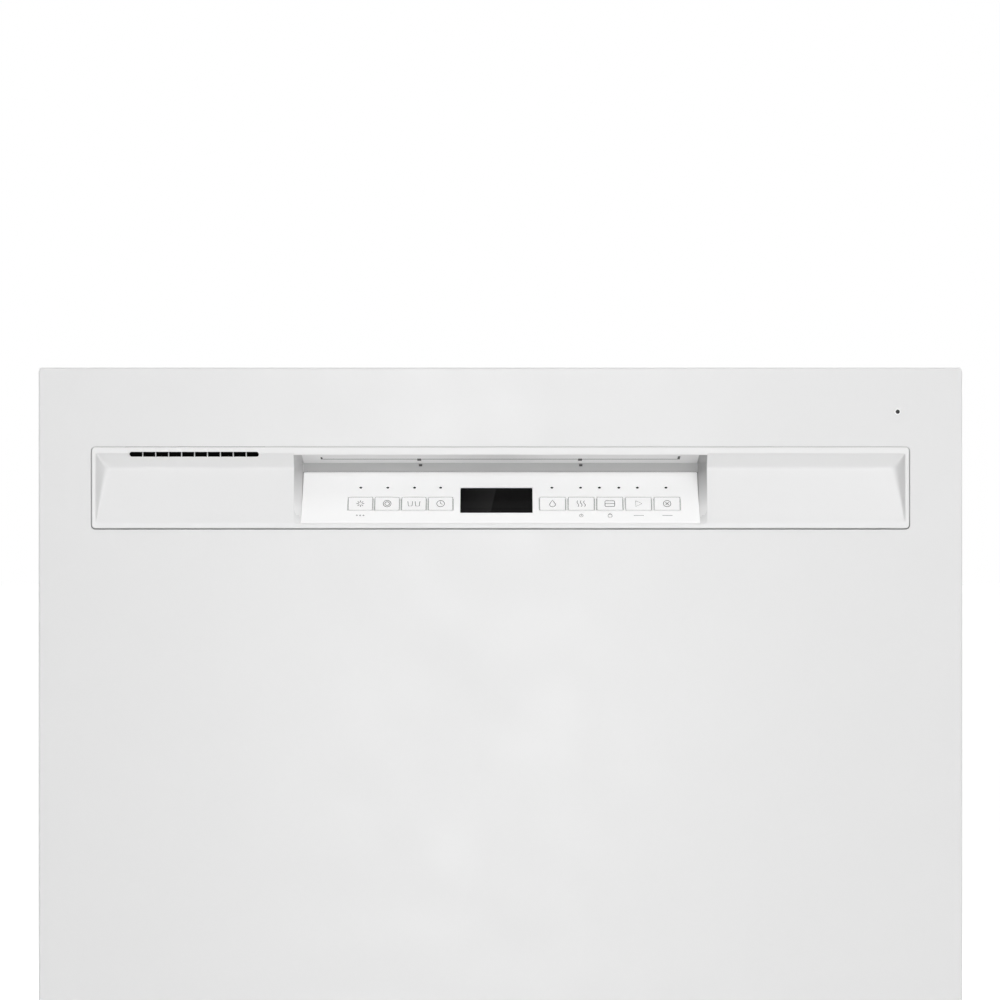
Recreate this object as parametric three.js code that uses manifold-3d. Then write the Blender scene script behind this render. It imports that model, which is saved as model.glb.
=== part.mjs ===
// Built-in dishwasher for a 24-inch opening, with a front-control door and a pocket handle.
// Millimetres, +Z up. The door faces -Y. The origin is the middle of the footprint, on the floor.
import * as THREE from "three";
import { ConvexGeometry } from "three/addons/geometries/ConvexGeometry.js";
import { mergeVertices } from "three/addons/utils/BufferGeometryUtils.js";
import Module from "manifold-3d";

const wasm = await Module();
wasm.setup();

// ---------------------------------------------------------------- driving dimensions

// Whole machine
const WIDTH = 606;
const HEIGHT = 870;
const DEPTH = 622;
const FIT = 0.3; // between faces that touch
const RUN = 1; // between pieces that move past each other

// Door
const DOOR_THICKNESS = 60;
const DOOR_SILL = 140; // floor to the door's lower edge
const PANEL_SHEET = 1.2;
const PANEL_RETURN = 20;
const CORNER_RELIEF = 1.4; // slot between the folds of the top and side returns
const LINER_SHEET = 1.2;
const LINER_SIDE_GAP = 8.3; // outer return to liner side
const LINER_RETURN = 45;
const DISH_DEPTH = 8;
const DISH_MARGIN = 38;
const DISH_SLOPE = 9;
const INSULATION_THICKNESS = 9;
const HINGE_SETBACK = 38; // door front to hinge axis
const HINGE_RISE = 25; // door's lower edge to hinge axis
const HINGE_PIN = 4; // radius
const ARM_SHEET = 3.2;
const ARM_WIDTH = 21;
const ARM_LENGTH = 260;
const TAIL_LENGTH = 40;

// Console insert
const RIM_PROUD = 1.3;
const RIM_THICKNESS = 1;
const RIM_SIDE = 34.8; // door's side to the rim
const RIM_HEIGHT = 53.5;
const RIM_DROP = 52.1; // door top to rim top
const RIM_RADIUS = 2.6;
const RIM_OVERLAP = 1.9; // rim over the edge of the cut-out
const RIM_LIP = 2.9; // flat border inside the rim's outline
const RIM_TOP_LIP = 4; // flat border above the scoops
const MOULD_WALL = 2.4;
const COLLAR_WALL = 1.9;
const SCOOP_DEPTH = 9;
const SCOOP_CREASE = 9.5; // scoop's top edge to its deepest line
const SCOOP_END_SLOPE = 10;
const POCKET_HALF = 135.8;
const POCKET_END_SLOPE = 5.4;
const POCKET_DEPTH = 25;
const POCKET_CEILING_FALL = 5.2;
const POCKET_BACK_HEIGHT = 6;
const POCKET_TOP_LIP = 4.95;
const POCKET_BOTTOM_DEPTH = 1.5;
const VENT_SLOTS = 10;
const VENT_PITCH = 8.4;
const VENT_BAR = 0.9;
const VENT_HEIGHT = 3.15;
const VENT_INSET = 67.3; // rim's end to the middle of the slots
const VENT_DROP = 4.8; // rim top to the slots' centre line

// Controls on the sloping faceplate, measured along its slope from its lower edge
const FACEPLATE_SHEET = 2;
const FACEPLATE_EDGE = 6; // ledge that carries the faceplate
const KEY_HEIGHT = 11;
const KEY_CENTRE_UP = 15.4;
const KEY_PROUD = 0.25;
const KEY_TRAVEL = 0.5;
const KEY_GAP = 0.3;
const LEFT_KEYS = 4;
const LEFT_KEY_WIDTH = 16.4;
const LEFT_KEY_PITCH = 17.6;
const LEFT_KEY_FIRST = -92.2;
const RIGHT_KEYS = 5;
const RIGHT_KEY_WIDTH = 17.4;
const RIGHT_KEY_PITCH = 18.85;
const RIGHT_KEY_FIRST = 34.3;
const DISPLAY_WIDTH = 47;
const DISPLAY_HEIGHT = 19.6;
const DISPLAY_CENTRE_X = -2.65;
const DISPLAY_CENTRE_UP = 18.4;
const DISPLAY_SHEET = 1.4;
const BOARD_SHEET = 1.6;
const LIGHT_RADIUS = 1.35;
const LIGHT_INSET = 42.5; // door's side to the light
const LIGHT_DROP = 29;

// Tub
const TUB_SIDE_GAP = 25; // door's side to the tub
const TUB_BACK_GAP = 21; // tub to the machine's back
const TUB_HEAD_GAP = 12; // tub to the machine's top
const TUB_FLOOR_RISE = 24; // hinge axis to the tub's floor
const TUB_SHEET = 1.2;
const TUB_RADIUS = 10;
const FLANGE_MARGIN = 9.5;
const FLANGE_FOOT_DROP = 21; // tub's floor to the flange's foot
const FLANGE_HEAD_GAP = 6; // flange to the machine's top
const DOOR_TO_TUB = 5; // liner to tub flange
const GASKET_WIDTH = 8;
const BASIN_SIDE_MARGIN = 75; // heating ring to the basin's edges
const BASIN_FRONT_MARGIN = 45;
const BASIN_BACK_MARGIN = 68;
const BASIN_DEPTH = 18;
const BASIN_SLOPE = 60;
const WRAP_THICKNESS = 7.7;
const WRAP_SETBACK = 6;
const BRACKET_INSET = 75; // tub's side to the middle of a counter bracket
const BRACKET_WIDTH = 26;
const BRACKET_LENGTH = 36;
const BRACKET_SHEET = 1.5;
const BRACKET_HOLE = 24; // bracket's front to its screw hole
const SCREW_RADIUS = 2.6;
const STRIKE_LENGTH = 20;
const STRIKE_HALF = 5;
const STRIKE_SHEET = 3;

// Base
const BASE_SIDE_GAP = 4.5; // door's side to the base
const BASE_WALL = 2;
const BASE_FRONT_SETBACK = 73; // door front to base front
const BASE_CLEARANCE = 22;
const BASE_FLOOR = 3;
const SUPPORT_INSET = 29.5; // base's side to a tub support
const SUPPORT_WALL = 3;
const WINDOWS = 4; // openings in each side of the base
const WINDOW_LENGTH = 76;
const WINDOW_SETBACK = 130; // base's front and back to the first and last of them
const WINDOW_BACK = 100;
const WINDOW_SILL = 50; // tray to the windows, and from the windows to the base's top
const WINDOW_HEAD = 25;
const RIB_SILL = 30; // tray to the ribs' openings, and from those to the tub's floor
const RIB_HEAD = 45;
const FRONT_SILL = 35; // tray to the opening behind the toe kick
const BACK_SILL = 60;
const BACK_JAMB = 30;
const LUG_HEIGHT = 24;
const KICK_HEIGHT = 106;
const KICK_CLEARANCE = 12;
const KICK_SHEET = 1.2;
const FOOT_RADIUS = 20;
const FOOT_HEIGHT = 8;
const FOOT_STUD = 6; // radius
const FOOT_SIDE_INSET = 48.5;
const FOOT_INSET = 41;
const BOSS_RADIUS = 14;
const BOSS_HEIGHT = 38;
const SPRING_WIRE = 0.9; // radius
const SPRING_RADIUS = 4.5; // to the middle of the wire
const SPRING_TURNS = 9;
const SPRING_LEG = 62;
const ANCHOR_FROM_AXIS = 213;
const ANCHOR_DROP = 105;
const STUD_RADIUS = 2.5;

// Water works
const SUMP_AHEAD = 2; // tub's middle to the sump's
const SUMP_RADIUS = 95;
const SUMP_DEPTH = 75;
const SUMP_FLANGE = 12;
const SUMP_PLATE = 3;
const SUMP_WALL = 3;
const POST_RADIUS = 10;
const FILTER_RADIUS = 30;
const FILTER_OFFSET = 47;
const FILTER_LIP = 2.5;
const ELEMENT_MARGIN = 43; // sump's flange to the heating ring
const ELEMENT_TUBE = 3.5;
const ARM_THICKNESS = 12;
const ARM_END = 17; // radius of a spray arm's rounded ends, and half its width at the hub
const ARM_ROOT = 34;
const JET_RADIUS = 2.2;
const LOWER_ARM_RISE = 4; // tub's floor to the lower spray arm
const LOWER_ARM_CLEARANCE = 30; // arm's end to the nearest wall, as it turns
const UPPER_ARM_CLEARANCE = 53;
const FLOAT_SIDE = 43; // tub's side to the float
const FLOAT_INSET = 40;
const FLOAT_RADIUS = 14;
const FLOAT_HEIGHT = 9;
const STUB_LENGTH = 12; // sump's pipe stubs
const PUMP_RADIUS = 30;
const PUMP_LENGTH = 22;
const MOTOR_RADIUS = 44;
const MOTOR_BOSS = 8;
const MOTOR_CLEARANCE = 25.2; // motor's end to the tub's support
const VALVE_INSET = 44; // tub's support to the valve
const VALVE_SETBACK = 95; // base's front to the valve
const VALVE_BODY = 34; // heights over the tray
const VALVE_HEAD = 62;
const DRAIN_RADIUS = 27;
const DRAIN_LENGTH = 66;
const DUCT_DEPTH = 26;

// Racks
const WIRE = 1.8; // half of a coated wire's thickness
const WIRE_BEND = 12;
const RIM_WIRE = 2.6;
const HOOP_RADIUS = 18; // corners of the racks' rims
const LOWER_RACK_SIDE = 25; // tub's side to the rack
const LOWER_RACK_FRONT = 18; // tub front to rack front
const LOWER_RACK_BACK = 34; // rack to the tub's back
const LOWER_RACK_RISE = 27; // tub floor to the bottom wires
const LOWER_RACK_HEIGHT = 146;
const UPPER_RACK_SIDE = 30;
const UPPER_RACK_FRONT = 24;
const UPPER_RACK_BACK = 50;
const UPPER_RACK_DROP = 336; // tub's top to the bottom wires
const UPPER_RACK_HEIGHT = 124;
const RACK_LENGTHWAYS = 7;
const RACK_CROSSWAYS = 5;
const RACK_SIDE_INSET = 24; // rack's sides and ends to the first wires
const RACK_END_INSET = 30;
const TINES = 5;
const LOWER_TINE = 74; // heights over the bottom wires
const UPPER_TINE = 46;
const UPPER_TINE_INSET = 45;
const TINE_INSET = 42; // rack's side or the basket to the first tine
const WHEEL_RADIUS = 20;
const WHEEL_WIDTH = 11;
const AXLE_RADIUS = 3;
const WHEEL_INSET = 44;
const RAIL_RISE = 66; // upper rack's bottom wires to the rail
const RAIL_HEIGHT = 15;
const RAIL_WIDTH = 5;
const BEARING_SETBACK = 32; // tub's front to the first rail bearing
const BEARING_PITCH = 118;
const BEARING_LIP = 2;
const CHANNEL_LIP = 3; // rail's height above and below its channel
const RAIL_WEB = 1.6;
const RAIL_STOP = 4; // closed ends of the channel
const ROLLER_RADIUS = 4;
const ROLLER_WIDTH = 2.5;
const ROLLER_BACK = 25; // rack's back to the rear roller
const ROLLER_PITCH = 235;
const HANGER_WIDTH = 24;
const HANGER_SHEET = 2.4;
const RAIL_FRONT = 6; // tub's front and back to the rail's ends
const RAIL_BACK = 52;
const BASKET_WIDTH = 92;
const BASKET_LENGTH = 232;
const BASKET_HEIGHT = 118;
const BASKET_WALL = 2.4;
const BASKET_SIDE = 16; // rack's side and front to the basket
const BASKET_FRONT = 14;
const BASKET_CELLS = 5;
const BASKET_WINDOW_RISES = [14, 62]; // basket's bottom to its rows of windows
const BASKET_WINDOW_HEIGHT = 38;
const BASKET_POST = 6; // between a window and the end of its cell
const BASKET_GRIP = 90;

// Dispenser
const DISPENSER_WIDTH = 188;
const DISPENSER_HEIGHT = 150;
const DISPENSER_DEPTH = 34;
const DISPENSER_X = 20;
const DISPENSER_DROP = 370; // door's top to the dispenser's middle
const CUP_WIDTH = 68;
const CUP_HEIGHT = 58;
const CUP_DEPTH = 24;
const LID_SHEET = 2.6;
const LID_TRAVEL = 50;
const CAP_RADIUS = 17;
const VENT_RADIUS = 30;

// ---------------------------------------------------------------- planes that follow from them

const HALF = WIDTH / 2;
const FRONT_Y = -DEPTH / 2;
const BACK_Y = DEPTH / 2;
const FACE_Y = FRONT_Y + RIM_PROUD; // painted face of the door
const LINER_Y = FRONT_Y + DOOR_THICKNESS; // liner's face to the tub
const HINGE_Y = FRONT_Y + HINGE_SETBACK;
const HINGE_Z = DOOR_SILL + HINGE_RISE;
const LINER_HALF = HALF - PANEL_SHEET - LINER_SIDE_GAP;
const LINER_BOTTOM = HINGE_Z + HINGE_PIN + 2;
const LINER_TOP = HEIGHT - PANEL_SHEET - FIT;
const DISH_Y = LINER_Y - DISH_DEPTH; // liner's dished face
const TUB_FRONT = LINER_Y + DOOR_TO_TUB;
const TUB_BACK = BACK_Y - TUB_BACK_GAP;
const TUB_TOP = HEIGHT - TUB_HEAD_GAP;
const TUB_FLOOR = HINGE_Z + TUB_FLOOR_RISE;
const TUB_HALF = HALF - TUB_SIDE_GAP;
const TUB_INNER = TUB_HALF - TUB_SHEET;
const FLANGE_FOOT = TUB_FLOOR - FLANGE_FOOT_DROP;
const FLANGE_HEAD = HEIGHT - FLANGE_HEAD_GAP;
const BASIN_Z = TUB_FLOOR - BASIN_DEPTH;
const RIM_TOP = HEIGHT - RIM_DROP;
const RIM_HALF = HALF - RIM_SIDE;
const RIM_BOTTOM = RIM_TOP - RIM_HEIGHT;
const CUTOUT_HALF = RIM_HALF - RIM_OVERLAP;
const CUTOUT_TOP = RIM_TOP - RIM_OVERLAP;
const CUTOUT_BOTTOM = RIM_BOTTOM + RIM_OVERLAP;
const VENT_CENTRE_X = VENT_INSET - RIM_HALF;
const LIGHT_X = HALF - LIGHT_INSET;
const LIGHT_Z = HEIGHT - LIGHT_DROP;
const DISPENSER_Z = HEIGHT - DISPENSER_DROP;
const BASE_FRONT = FRONT_Y + BASE_FRONT_SETBACK;
const BASE_HALF = HALF - BASE_SIDE_GAP;
const BASE_TOP = HINGE_Z;
const SUPPORT_X = BASE_HALF - SUPPORT_INSET;
const FOOT_X = BASE_HALF - FOOT_SIDE_INSET;
const TRAY_Z = BASE_CLEARANCE + BASE_FLOOR;
const ANCHOR_Y = HINGE_Y + ANCHOR_FROM_AXIS;
const ANCHOR_Z = HINGE_Z - ANCHOR_DROP;
const PLATE_Z = BASIN_Z + FIT; // underside of the sump's plate
const SUMP_Y = (TUB_FRONT + TUB_BACK) / 2 - SUMP_AHEAD;
const ELEMENT_RADIUS = SUMP_RADIUS + SUMP_FLANGE + ELEMENT_MARGIN;
const LOWER_ARM_Z = TUB_FLOOR + LOWER_ARM_RISE;
const LOWER_ARM_REACH = (TUB_BACK - TUB_FRONT) / 2 - LOWER_ARM_CLEARANCE;
const UPPER_ARM_REACH = (TUB_BACK - TUB_FRONT) / 2 - UPPER_ARM_CLEARANCE;
const FLOAT_X = FLOAT_SIDE - TUB_HALF;
const LOWER_RACK_HALF = TUB_HALF - LOWER_RACK_SIDE;
const LOWER_RACK_Z = TUB_FLOOR + LOWER_RACK_RISE;
const UPPER_RACK_HALF = TUB_HALF - UPPER_RACK_SIDE;
const UPPER_RACK_Z = TUB_TOP - UPPER_RACK_DROP;

// ---------------------------------------------------------------- finishes

const FINISH = {
  paint: { color: 0xe8e8e7, roughness: 0.32, metalness: 0 },
  moulding: { color: 0xe4e4e3, roughness: 0.42, metalness: 0 },
  faceplate: { color: 0xf2f2f1, roughness: 0.36, metalness: 0 },
  glass: { color: 0x16161a, roughness: 0.12, metalness: 0 },
  stainless: { color: 0xb9bbbd, roughness: 0.3, metalness: 1 },
  zinc: { color: 0xa9abad, roughness: 0.45, metalness: 1 },
  springSteel: { color: 0x8d8f92, roughness: 0.35, metalness: 1 },
  greyPlastic: { color: 0x8f9294, roughness: 0.5, metalness: 0 },
  darkPlastic: { color: 0x2b2c2e, roughness: 0.6, metalness: 0 },
  blackPaint: { color: 0x232427, roughness: 0.5, metalness: 0 },
  rubber: { color: 0x3b3c3f, roughness: 0.85, metalness: 0 },
  felt: { color: 0x2e2d2c, roughness: 0.95, metalness: 0 },
  board: { color: 0x1d5a36, roughness: 0.5, metalness: 0 },
  nylon: { color: 0xc3c7cb, roughness: 0.45, metalness: 0 },
};

// ---------------------------------------------------------------- solids

function toSolid(geometry) {
  const bare = geometry.index ? geometry.toNonIndexed() : geometry.clone();
  bare.deleteAttribute("normal");
  bare.deleteAttribute("uv");
  const merged = mergeVertices(bare, 1e-3);
  const vertProperties = merged.attributes.position.array;
  const triVerts = new Uint32Array(merged.index.array);
  return new wasm.Manifold(new wasm.Mesh({ numProp: 3, vertProperties, triVerts }));
}

const asSolid = (piece) => (piece.isBufferGeometry ? toSolid(piece) : piece);

function join(...pieces) {
  return pieces.flat().map(asSolid).reduce((sum, piece) => sum.add(piece));
}

function cut(base, ...tools) {
  return tools.flat().map(asSolid).reduce((rest, tool) => rest.subtract(tool), asSolid(base));
}

function box([x0, x1], [y0, y1], [z0, z1]) {
  const geometry = new THREE.BoxGeometry(x1 - x0, y1 - y0, z1 - z0);
  return geometry.translate((x0 + x1) / 2, (y0 + y1) / 2, (z0 + z1) / 2);
}

function outline(points) {
  return new THREE.Shape(points.map(([u, v]) => new THREE.Vector2(u, v)));
}

function roundedRect([u0, u1], [v0, v1], radius) {
  const shape = new THREE.Shape();
  shape.absarc(u1 - radius, v1 - radius, radius, 0, Math.PI / 2);
  shape.absarc(u0 + radius, v1 - radius, radius, Math.PI / 2, Math.PI);
  shape.absarc(u0 + radius, v0 + radius, radius, Math.PI, 1.5 * Math.PI);
  shape.absarc(u1 - radius, v0 + radius, radius, 1.5 * Math.PI, 2 * Math.PI);
  return shape;
}

// An outline pushed along one axis. Its own two axes are Y and Z, X and Z, or X and Y.
function push(axis, shape, [from, to], curveSegments = 3) {
  const options = { depth: to - from, bevelEnabled: false, curveSegments };
  const geometry = new THREE.ExtrudeGeometry(shape, options);
  if (axis === "x") {
    const cycle = new THREE.Matrix4().makeBasis(
      new THREE.Vector3(0, 1, 0),
      new THREE.Vector3(0, 0, 1),
      new THREE.Vector3(1, 0, 0),
    );
    return geometry.applyMatrix4(cycle).translate(from, 0, 0);
  }
  if (axis === "y") return geometry.rotateX(Math.PI / 2).translate(0, to, 0);
  return geometry.translate(0, 0, from);
}

// A round bar along one axis, centred on (a, b) in the other two, taken in the order X, Y, Z.
function rod(axis, radius, [from, to], [a, b], sides = 20, endRadius = radius) {
  const geometry = new THREE.CylinderGeometry(endRadius, radius, to - from, sides);
  const middle = (from + to) / 2;
  if (axis === "x") return geometry.rotateZ(-Math.PI / 2).translate(middle, a, b);
  if (axis === "y") return geometry.translate(a, middle, b);
  return geometry.rotateX(Math.PI / 2).translate(a, b, middle);
}

function revolve(profile, [x, y], sides = 18) {
  const points = profile.map(([radius, z]) => new THREE.Vector2(radius, z));
  return new THREE.LatheGeometry(points, sides).rotateX(Math.PI / 2).translate(x, y, 0);
}

function hull(points) {
  return new ConvexGeometry(points.map((point) => new THREE.Vector3(...point)));
}

// A straight round wire between two points.
function wire(from, to, radius = WIRE, sides = 4) {
  const start = new THREE.Vector3(...from);
  const along = new THREE.Vector3(...to).sub(start);
  const geometry = new THREE.CylinderGeometry(radius, radius, along.length(), sides);
  geometry.rotateY(Math.PI / sides);
  const turn = new THREE.Quaternion();
  turn.setFromUnitVectors(new THREE.Vector3(0, 1, 0), along.clone().normalize());
  const middle = start.addScaledVector(along, 0.5);
  return geometry.applyQuaternion(turn).translate(middle.x, middle.y, middle.z);
}

// A bent round bar that follows a smooth curve through the points.
function bentBar(points, radius, steps, sides = 6, closed = false) {
  const section = new THREE.Shape();
  section.absarc(0, 0, radius, 0, 2 * Math.PI);
  const knots = points.map((point) => new THREE.Vector3(...point));
  const extrudePath = new THREE.CatmullRomCurve3(knots, closed, "centripetal");
  return new THREE.ExtrudeGeometry(section, { steps, extrudePath, curveSegments: sides });
}

const spread = (count, from, to) =>
  Array.from({ length: count }, (_, i) => from + ((to - from) * i) / (count - 1));

// ---------------------------------------------------------------- the assembly

const dishwasher = new THREE.Group();
const cabinet = new THREE.Group();
const door = new THREE.Group();
const interior = new THREE.Group();
dishwasher.add(cabinet, door, interior);

function add(group, name, solid, finish) {
  const { numProp, vertProperties, triVerts } = asSolid(solid).getMesh();
  const geometry = new THREE.BufferGeometry();
  const positions = new THREE.InterleavedBuffer(vertProperties, numProp);
  geometry.setAttribute("position", new THREE.InterleavedBufferAttribute(positions, 3, 0));
  geometry.setIndex(new THREE.BufferAttribute(triVerts, 1));
  const mesh = new THREE.Mesh(geometry, new THREE.MeshStandardMaterial(finish));
  mesh.name = name;
  group.add(mesh);
  return mesh;
}

// ---------------------------------------------------------------- door shell

function doorOuterPanel() {
  const inside = HALF - PANEL_SHEET;
  const skin = FACE_Y + PANEL_SHEET;
  const open = FACE_Y + PANEL_RETURN;
  const window = roundedRect([-CUTOUT_HALF, CUTOUT_HALF], [CUTOUT_BOTTOM, CUTOUT_TOP], RIM_RADIUS);
  const roof = HEIGHT - PANEL_SHEET;
  const reliefs = [-1, 1].map((side) => {
    const edge = HALF - PANEL_SHEET / 2;
    const x = side > 0 ? [edge, HALF + RUN] : [-HALF - RUN, -edge];
    return box(x, [FACE_Y - RUN, open + RUN], [roof - CORNER_RELIEF, roof]);
  });
  return cut(
    box([-HALF, HALF], [FACE_Y, open], [DOOR_SILL, HEIGHT]),
    box([-inside, inside], [skin, open + RUN], [DOOR_SILL + PANEL_SHEET, HEIGHT - PANEL_SHEET]),
    push("y", window, [FACE_Y - RUN, skin + RUN]),
    rod("y", LIGHT_RADIUS + FIT, [FACE_Y - RUN, skin + RUN], [LIGHT_X, LIGHT_Z], 12),
    reliefs,
  );
}

// A sloped-sided block, larger at the tub side, as the liner's dish is pressed.
function dishBlock(grow, [y0, y1]) {
  const low = LINER_BOTTOM + DISH_MARGIN + grow;
  const high = LINER_TOP - DISH_MARGIN - grow;
  const side = LINER_HALF - DISH_MARGIN - grow;
  const ring = (inset, y) =>
    [-1, 1].flatMap((s) => [
      [s * (side - inset), y, low + inset],
      [s * (side - inset), y, high - inset],
    ]);
  return hull([...ring(DISH_SLOPE, y0), ...ring(0, y1)]);
}

const dispenserX = [DISPENSER_X - DISPENSER_WIDTH / 2, DISPENSER_X + DISPENSER_WIDTH / 2];
const dispenserZ = [DISPENSER_Z - DISPENSER_HEIGHT / 2, DISPENSER_Z + DISPENSER_HEIGHT / 2];
const ventX = VENT_CENTRE_X;
const ventZ = RIM_BOTTOM - VENT_RADIUS;

function grown([low, high], by) {
  return [low - by, high + by];
}

function doorInnerPanel() {
  const sheet = LINER_SHEET;
  const open = LINER_Y - LINER_RETURN;
  const pan = cut(
    box([-LINER_HALF, LINER_HALF], [open, LINER_Y], [LINER_BOTTOM, LINER_TOP]),
    box(
      [-LINER_HALF + sheet, LINER_HALF - sheet],
      [open - RUN, LINER_Y - sheet],
      [LINER_BOTTOM + sheet, LINER_TOP - sheet],
    ),
  );
  const mouth = STRIKE_HALF + 4;
  return cut(
    join(pan, dishBlock(-sheet, [DISH_Y - sheet, LINER_Y - sheet / 2])),
    dishBlock(0, [DISH_Y, LINER_Y + sheet / 2]),
    box(grown(dispenserX, FIT), [DISH_Y - 2 * sheet, LINER_Y], grown(dispenserZ, FIT)),
    rod("y", VENT_RADIUS - 6, [DISH_Y - 2 * sheet, LINER_Y], [ventX, ventZ], 20),
    box([-mouth, mouth], [LINER_Y - 2 * sheet, LINER_Y + RUN], [strikeZ[0] - 4, LINER_TOP + RUN]),
    box([-mouth, mouth], [strikeEnd - 4, LINER_Y + RUN], [LINER_TOP - 2 * sheet, LINER_TOP + RUN]),
    [armX, [-armX[1], -armX[0]]].map((x) =>
      box(grown(x, FIT), [open - RUN, LINER_Y + RUN], [LINER_BOTTOM - RUN, HINGE_Z + 14])),
  );
}

// ---------------------------------------------------------------- latch and strike

const strikeZ = [TUB_TOP + FIT + 1, TUB_TOP + FIT + 1 + STRIKE_SHEET];
const strikeEnd = LINER_Y - STRIKE_LENGTH;
const latchX = 24;
const latchZ = [strikeZ[0] - 18, HEIGHT - PANEL_SHEET - FIT - 0.5];
const boltX = [-STRIKE_HALF - FIT - 8, -STRIKE_HALF - FIT];
const boltY = [strikeEnd + 6, strikeEnd + 13];
const BOLT_TRAVEL = 4;

function doorLatch() {
  const y = [strikeEnd - 12, LINER_Y - LINER_SHEET - FIT];
  const slot = STRIKE_HALF + 3;
  const throat = [strikeZ[0] - 3, latchZ[1] + RUN];
  return cut(
    box([-latchX, latchX], y, [latchZ[0], LINER_TOP - LINER_SHEET - FIT]),
    box([-slot, slot], [strikeEnd - 4, y[1] + RUN], throat),
    box(
      [boltX[0] - BOLT_TRAVEL - FIT, -slot + RUN],
      grown(boltY, FIT),
      [strikeZ[0] - FIT, strikeZ[1] + FIT],
    ),
  );
}

function latchBolt() {
  return box(boltX, boltY, strikeZ);
}

function doorStrike() {
  const plate = 16;
  const front = [TUB_FRONT - FIT - 1.5, TUB_FRONT - FIT];
  return join(
    box([-plate, plate], front, [strikeZ[0] - 0.5, FLANGE_HEAD]),
    box([-STRIKE_HALF, STRIKE_HALF], [strikeEnd, front[1]], strikeZ),
  );
}

// ---------------------------------------------------------------- console housing

const scoopTop = RIM_TOP - RIM_TOP_LIP;
const scoopBottom = RIM_BOTTOM + RIM_LIP;
const pocketTop = RIM_TOP - POCKET_TOP_LIP;
const pocketBottom = RIM_BOTTOM + RIM_LIP + 0.6;
const plateTop = {
  y: FRONT_Y + POCKET_DEPTH,
  z: pocketTop - POCKET_CEILING_FALL - POCKET_BACK_HEIGHT,
};
const plateBottom = { y: FRONT_Y + POCKET_BOTTOM_DEPTH, z: pocketBottom };
const slopeLength = Math.hypot(plateTop.y - plateBottom.y, plateTop.z - plateBottom.z);
const slopeAngle = Math.atan2(plateTop.z - plateBottom.z, plateTop.y - plateBottom.y);

// Scoop: shallow recess with a steep top slope, a long gentle lower slope and a sloped outer end.
function scoop(side, grow) {
  const outer = RIM_HALF - RIM_LIP + grow;
  const inner = POCKET_HALF - 2;
  const reach = grow ? RIM_THICKNESS / 2 : -RUN;
  const front = FRONT_Y + reach;
  const creaseZ = scoopTop - SCOOP_CREASE;
  const deep = FRONT_Y + SCOOP_DEPTH + grow;
  const lift = grow ? 0 : RUN * 0.6;
  return hull(
    [
      [inner, front, scoopTop + grow],
      [outer, front, scoopTop + grow],
      [inner, front, scoopBottom - grow],
      [outer, front, scoopBottom - grow],
      [inner, deep, creaseZ + lift],
      [outer - SCOOP_END_SLOPE, deep, creaseZ + lift],
      [inner, FRONT_Y + grow, scoopBottom - grow],
      [outer, FRONT_Y + grow, scoopBottom - grow],
    ].map(([x, y, z]) => [side * x, y, z]),
  );
}

// Pocket: a ceiling that falls to the back, a short upright back and the sloping control plane.
function pocket(grow, floorDrop) {
  const front = FRONT_Y + (grow ? RIM_THICKNESS / 2 : -RUN);
  const slope = new THREE.Vector2(-Math.sin(slopeAngle), Math.cos(slopeAngle));
  const dropY = -slope.x * floorDrop;
  const dropZ = -slope.y * floorDrop;
  const outer = POCKET_HALF + grow;
  const inner = outer - POCKET_END_SLOPE;
  const back = plateTop.y + grow + dropY;
  return hull(
    [-1, 1].flatMap((s) => [
      [s * outer, front, pocketTop + grow],
      [s * outer, front, pocketBottom - grow],
      [s * inner, back - 2, pocketTop - POCKET_CEILING_FALL + grow],
      [s * inner, back, plateTop.z + dropZ],
      [s * (inner + 1), plateBottom.y + dropY + grow, plateBottom.z - grow],
    ]),
  );
}

// Frame of the control plane: origin on its lower edge, Y up the slope, Z out of the plane.
const controls = new THREE.Group();
controls.position.set(0, plateBottom.y, plateBottom.z);
controls.rotation.x = slopeAngle;
controls.updateMatrix();
door.add(controls);

const onSlope = (geometry) => geometry.applyMatrix4(controls.matrix);
const plateHalf = POCKET_HALF - POCKET_END_SLOPE - FIT;

function plateOutline(grow) {
  const foot = plateHalf + 0.8 + grow;
  const head = plateHalf + grow;
  return outline([[-foot, FIT - grow], [foot, FIT - grow], [head, slopeLength - FIT + grow],
    [-head, slopeLength - FIT + grow]]);
}

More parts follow.
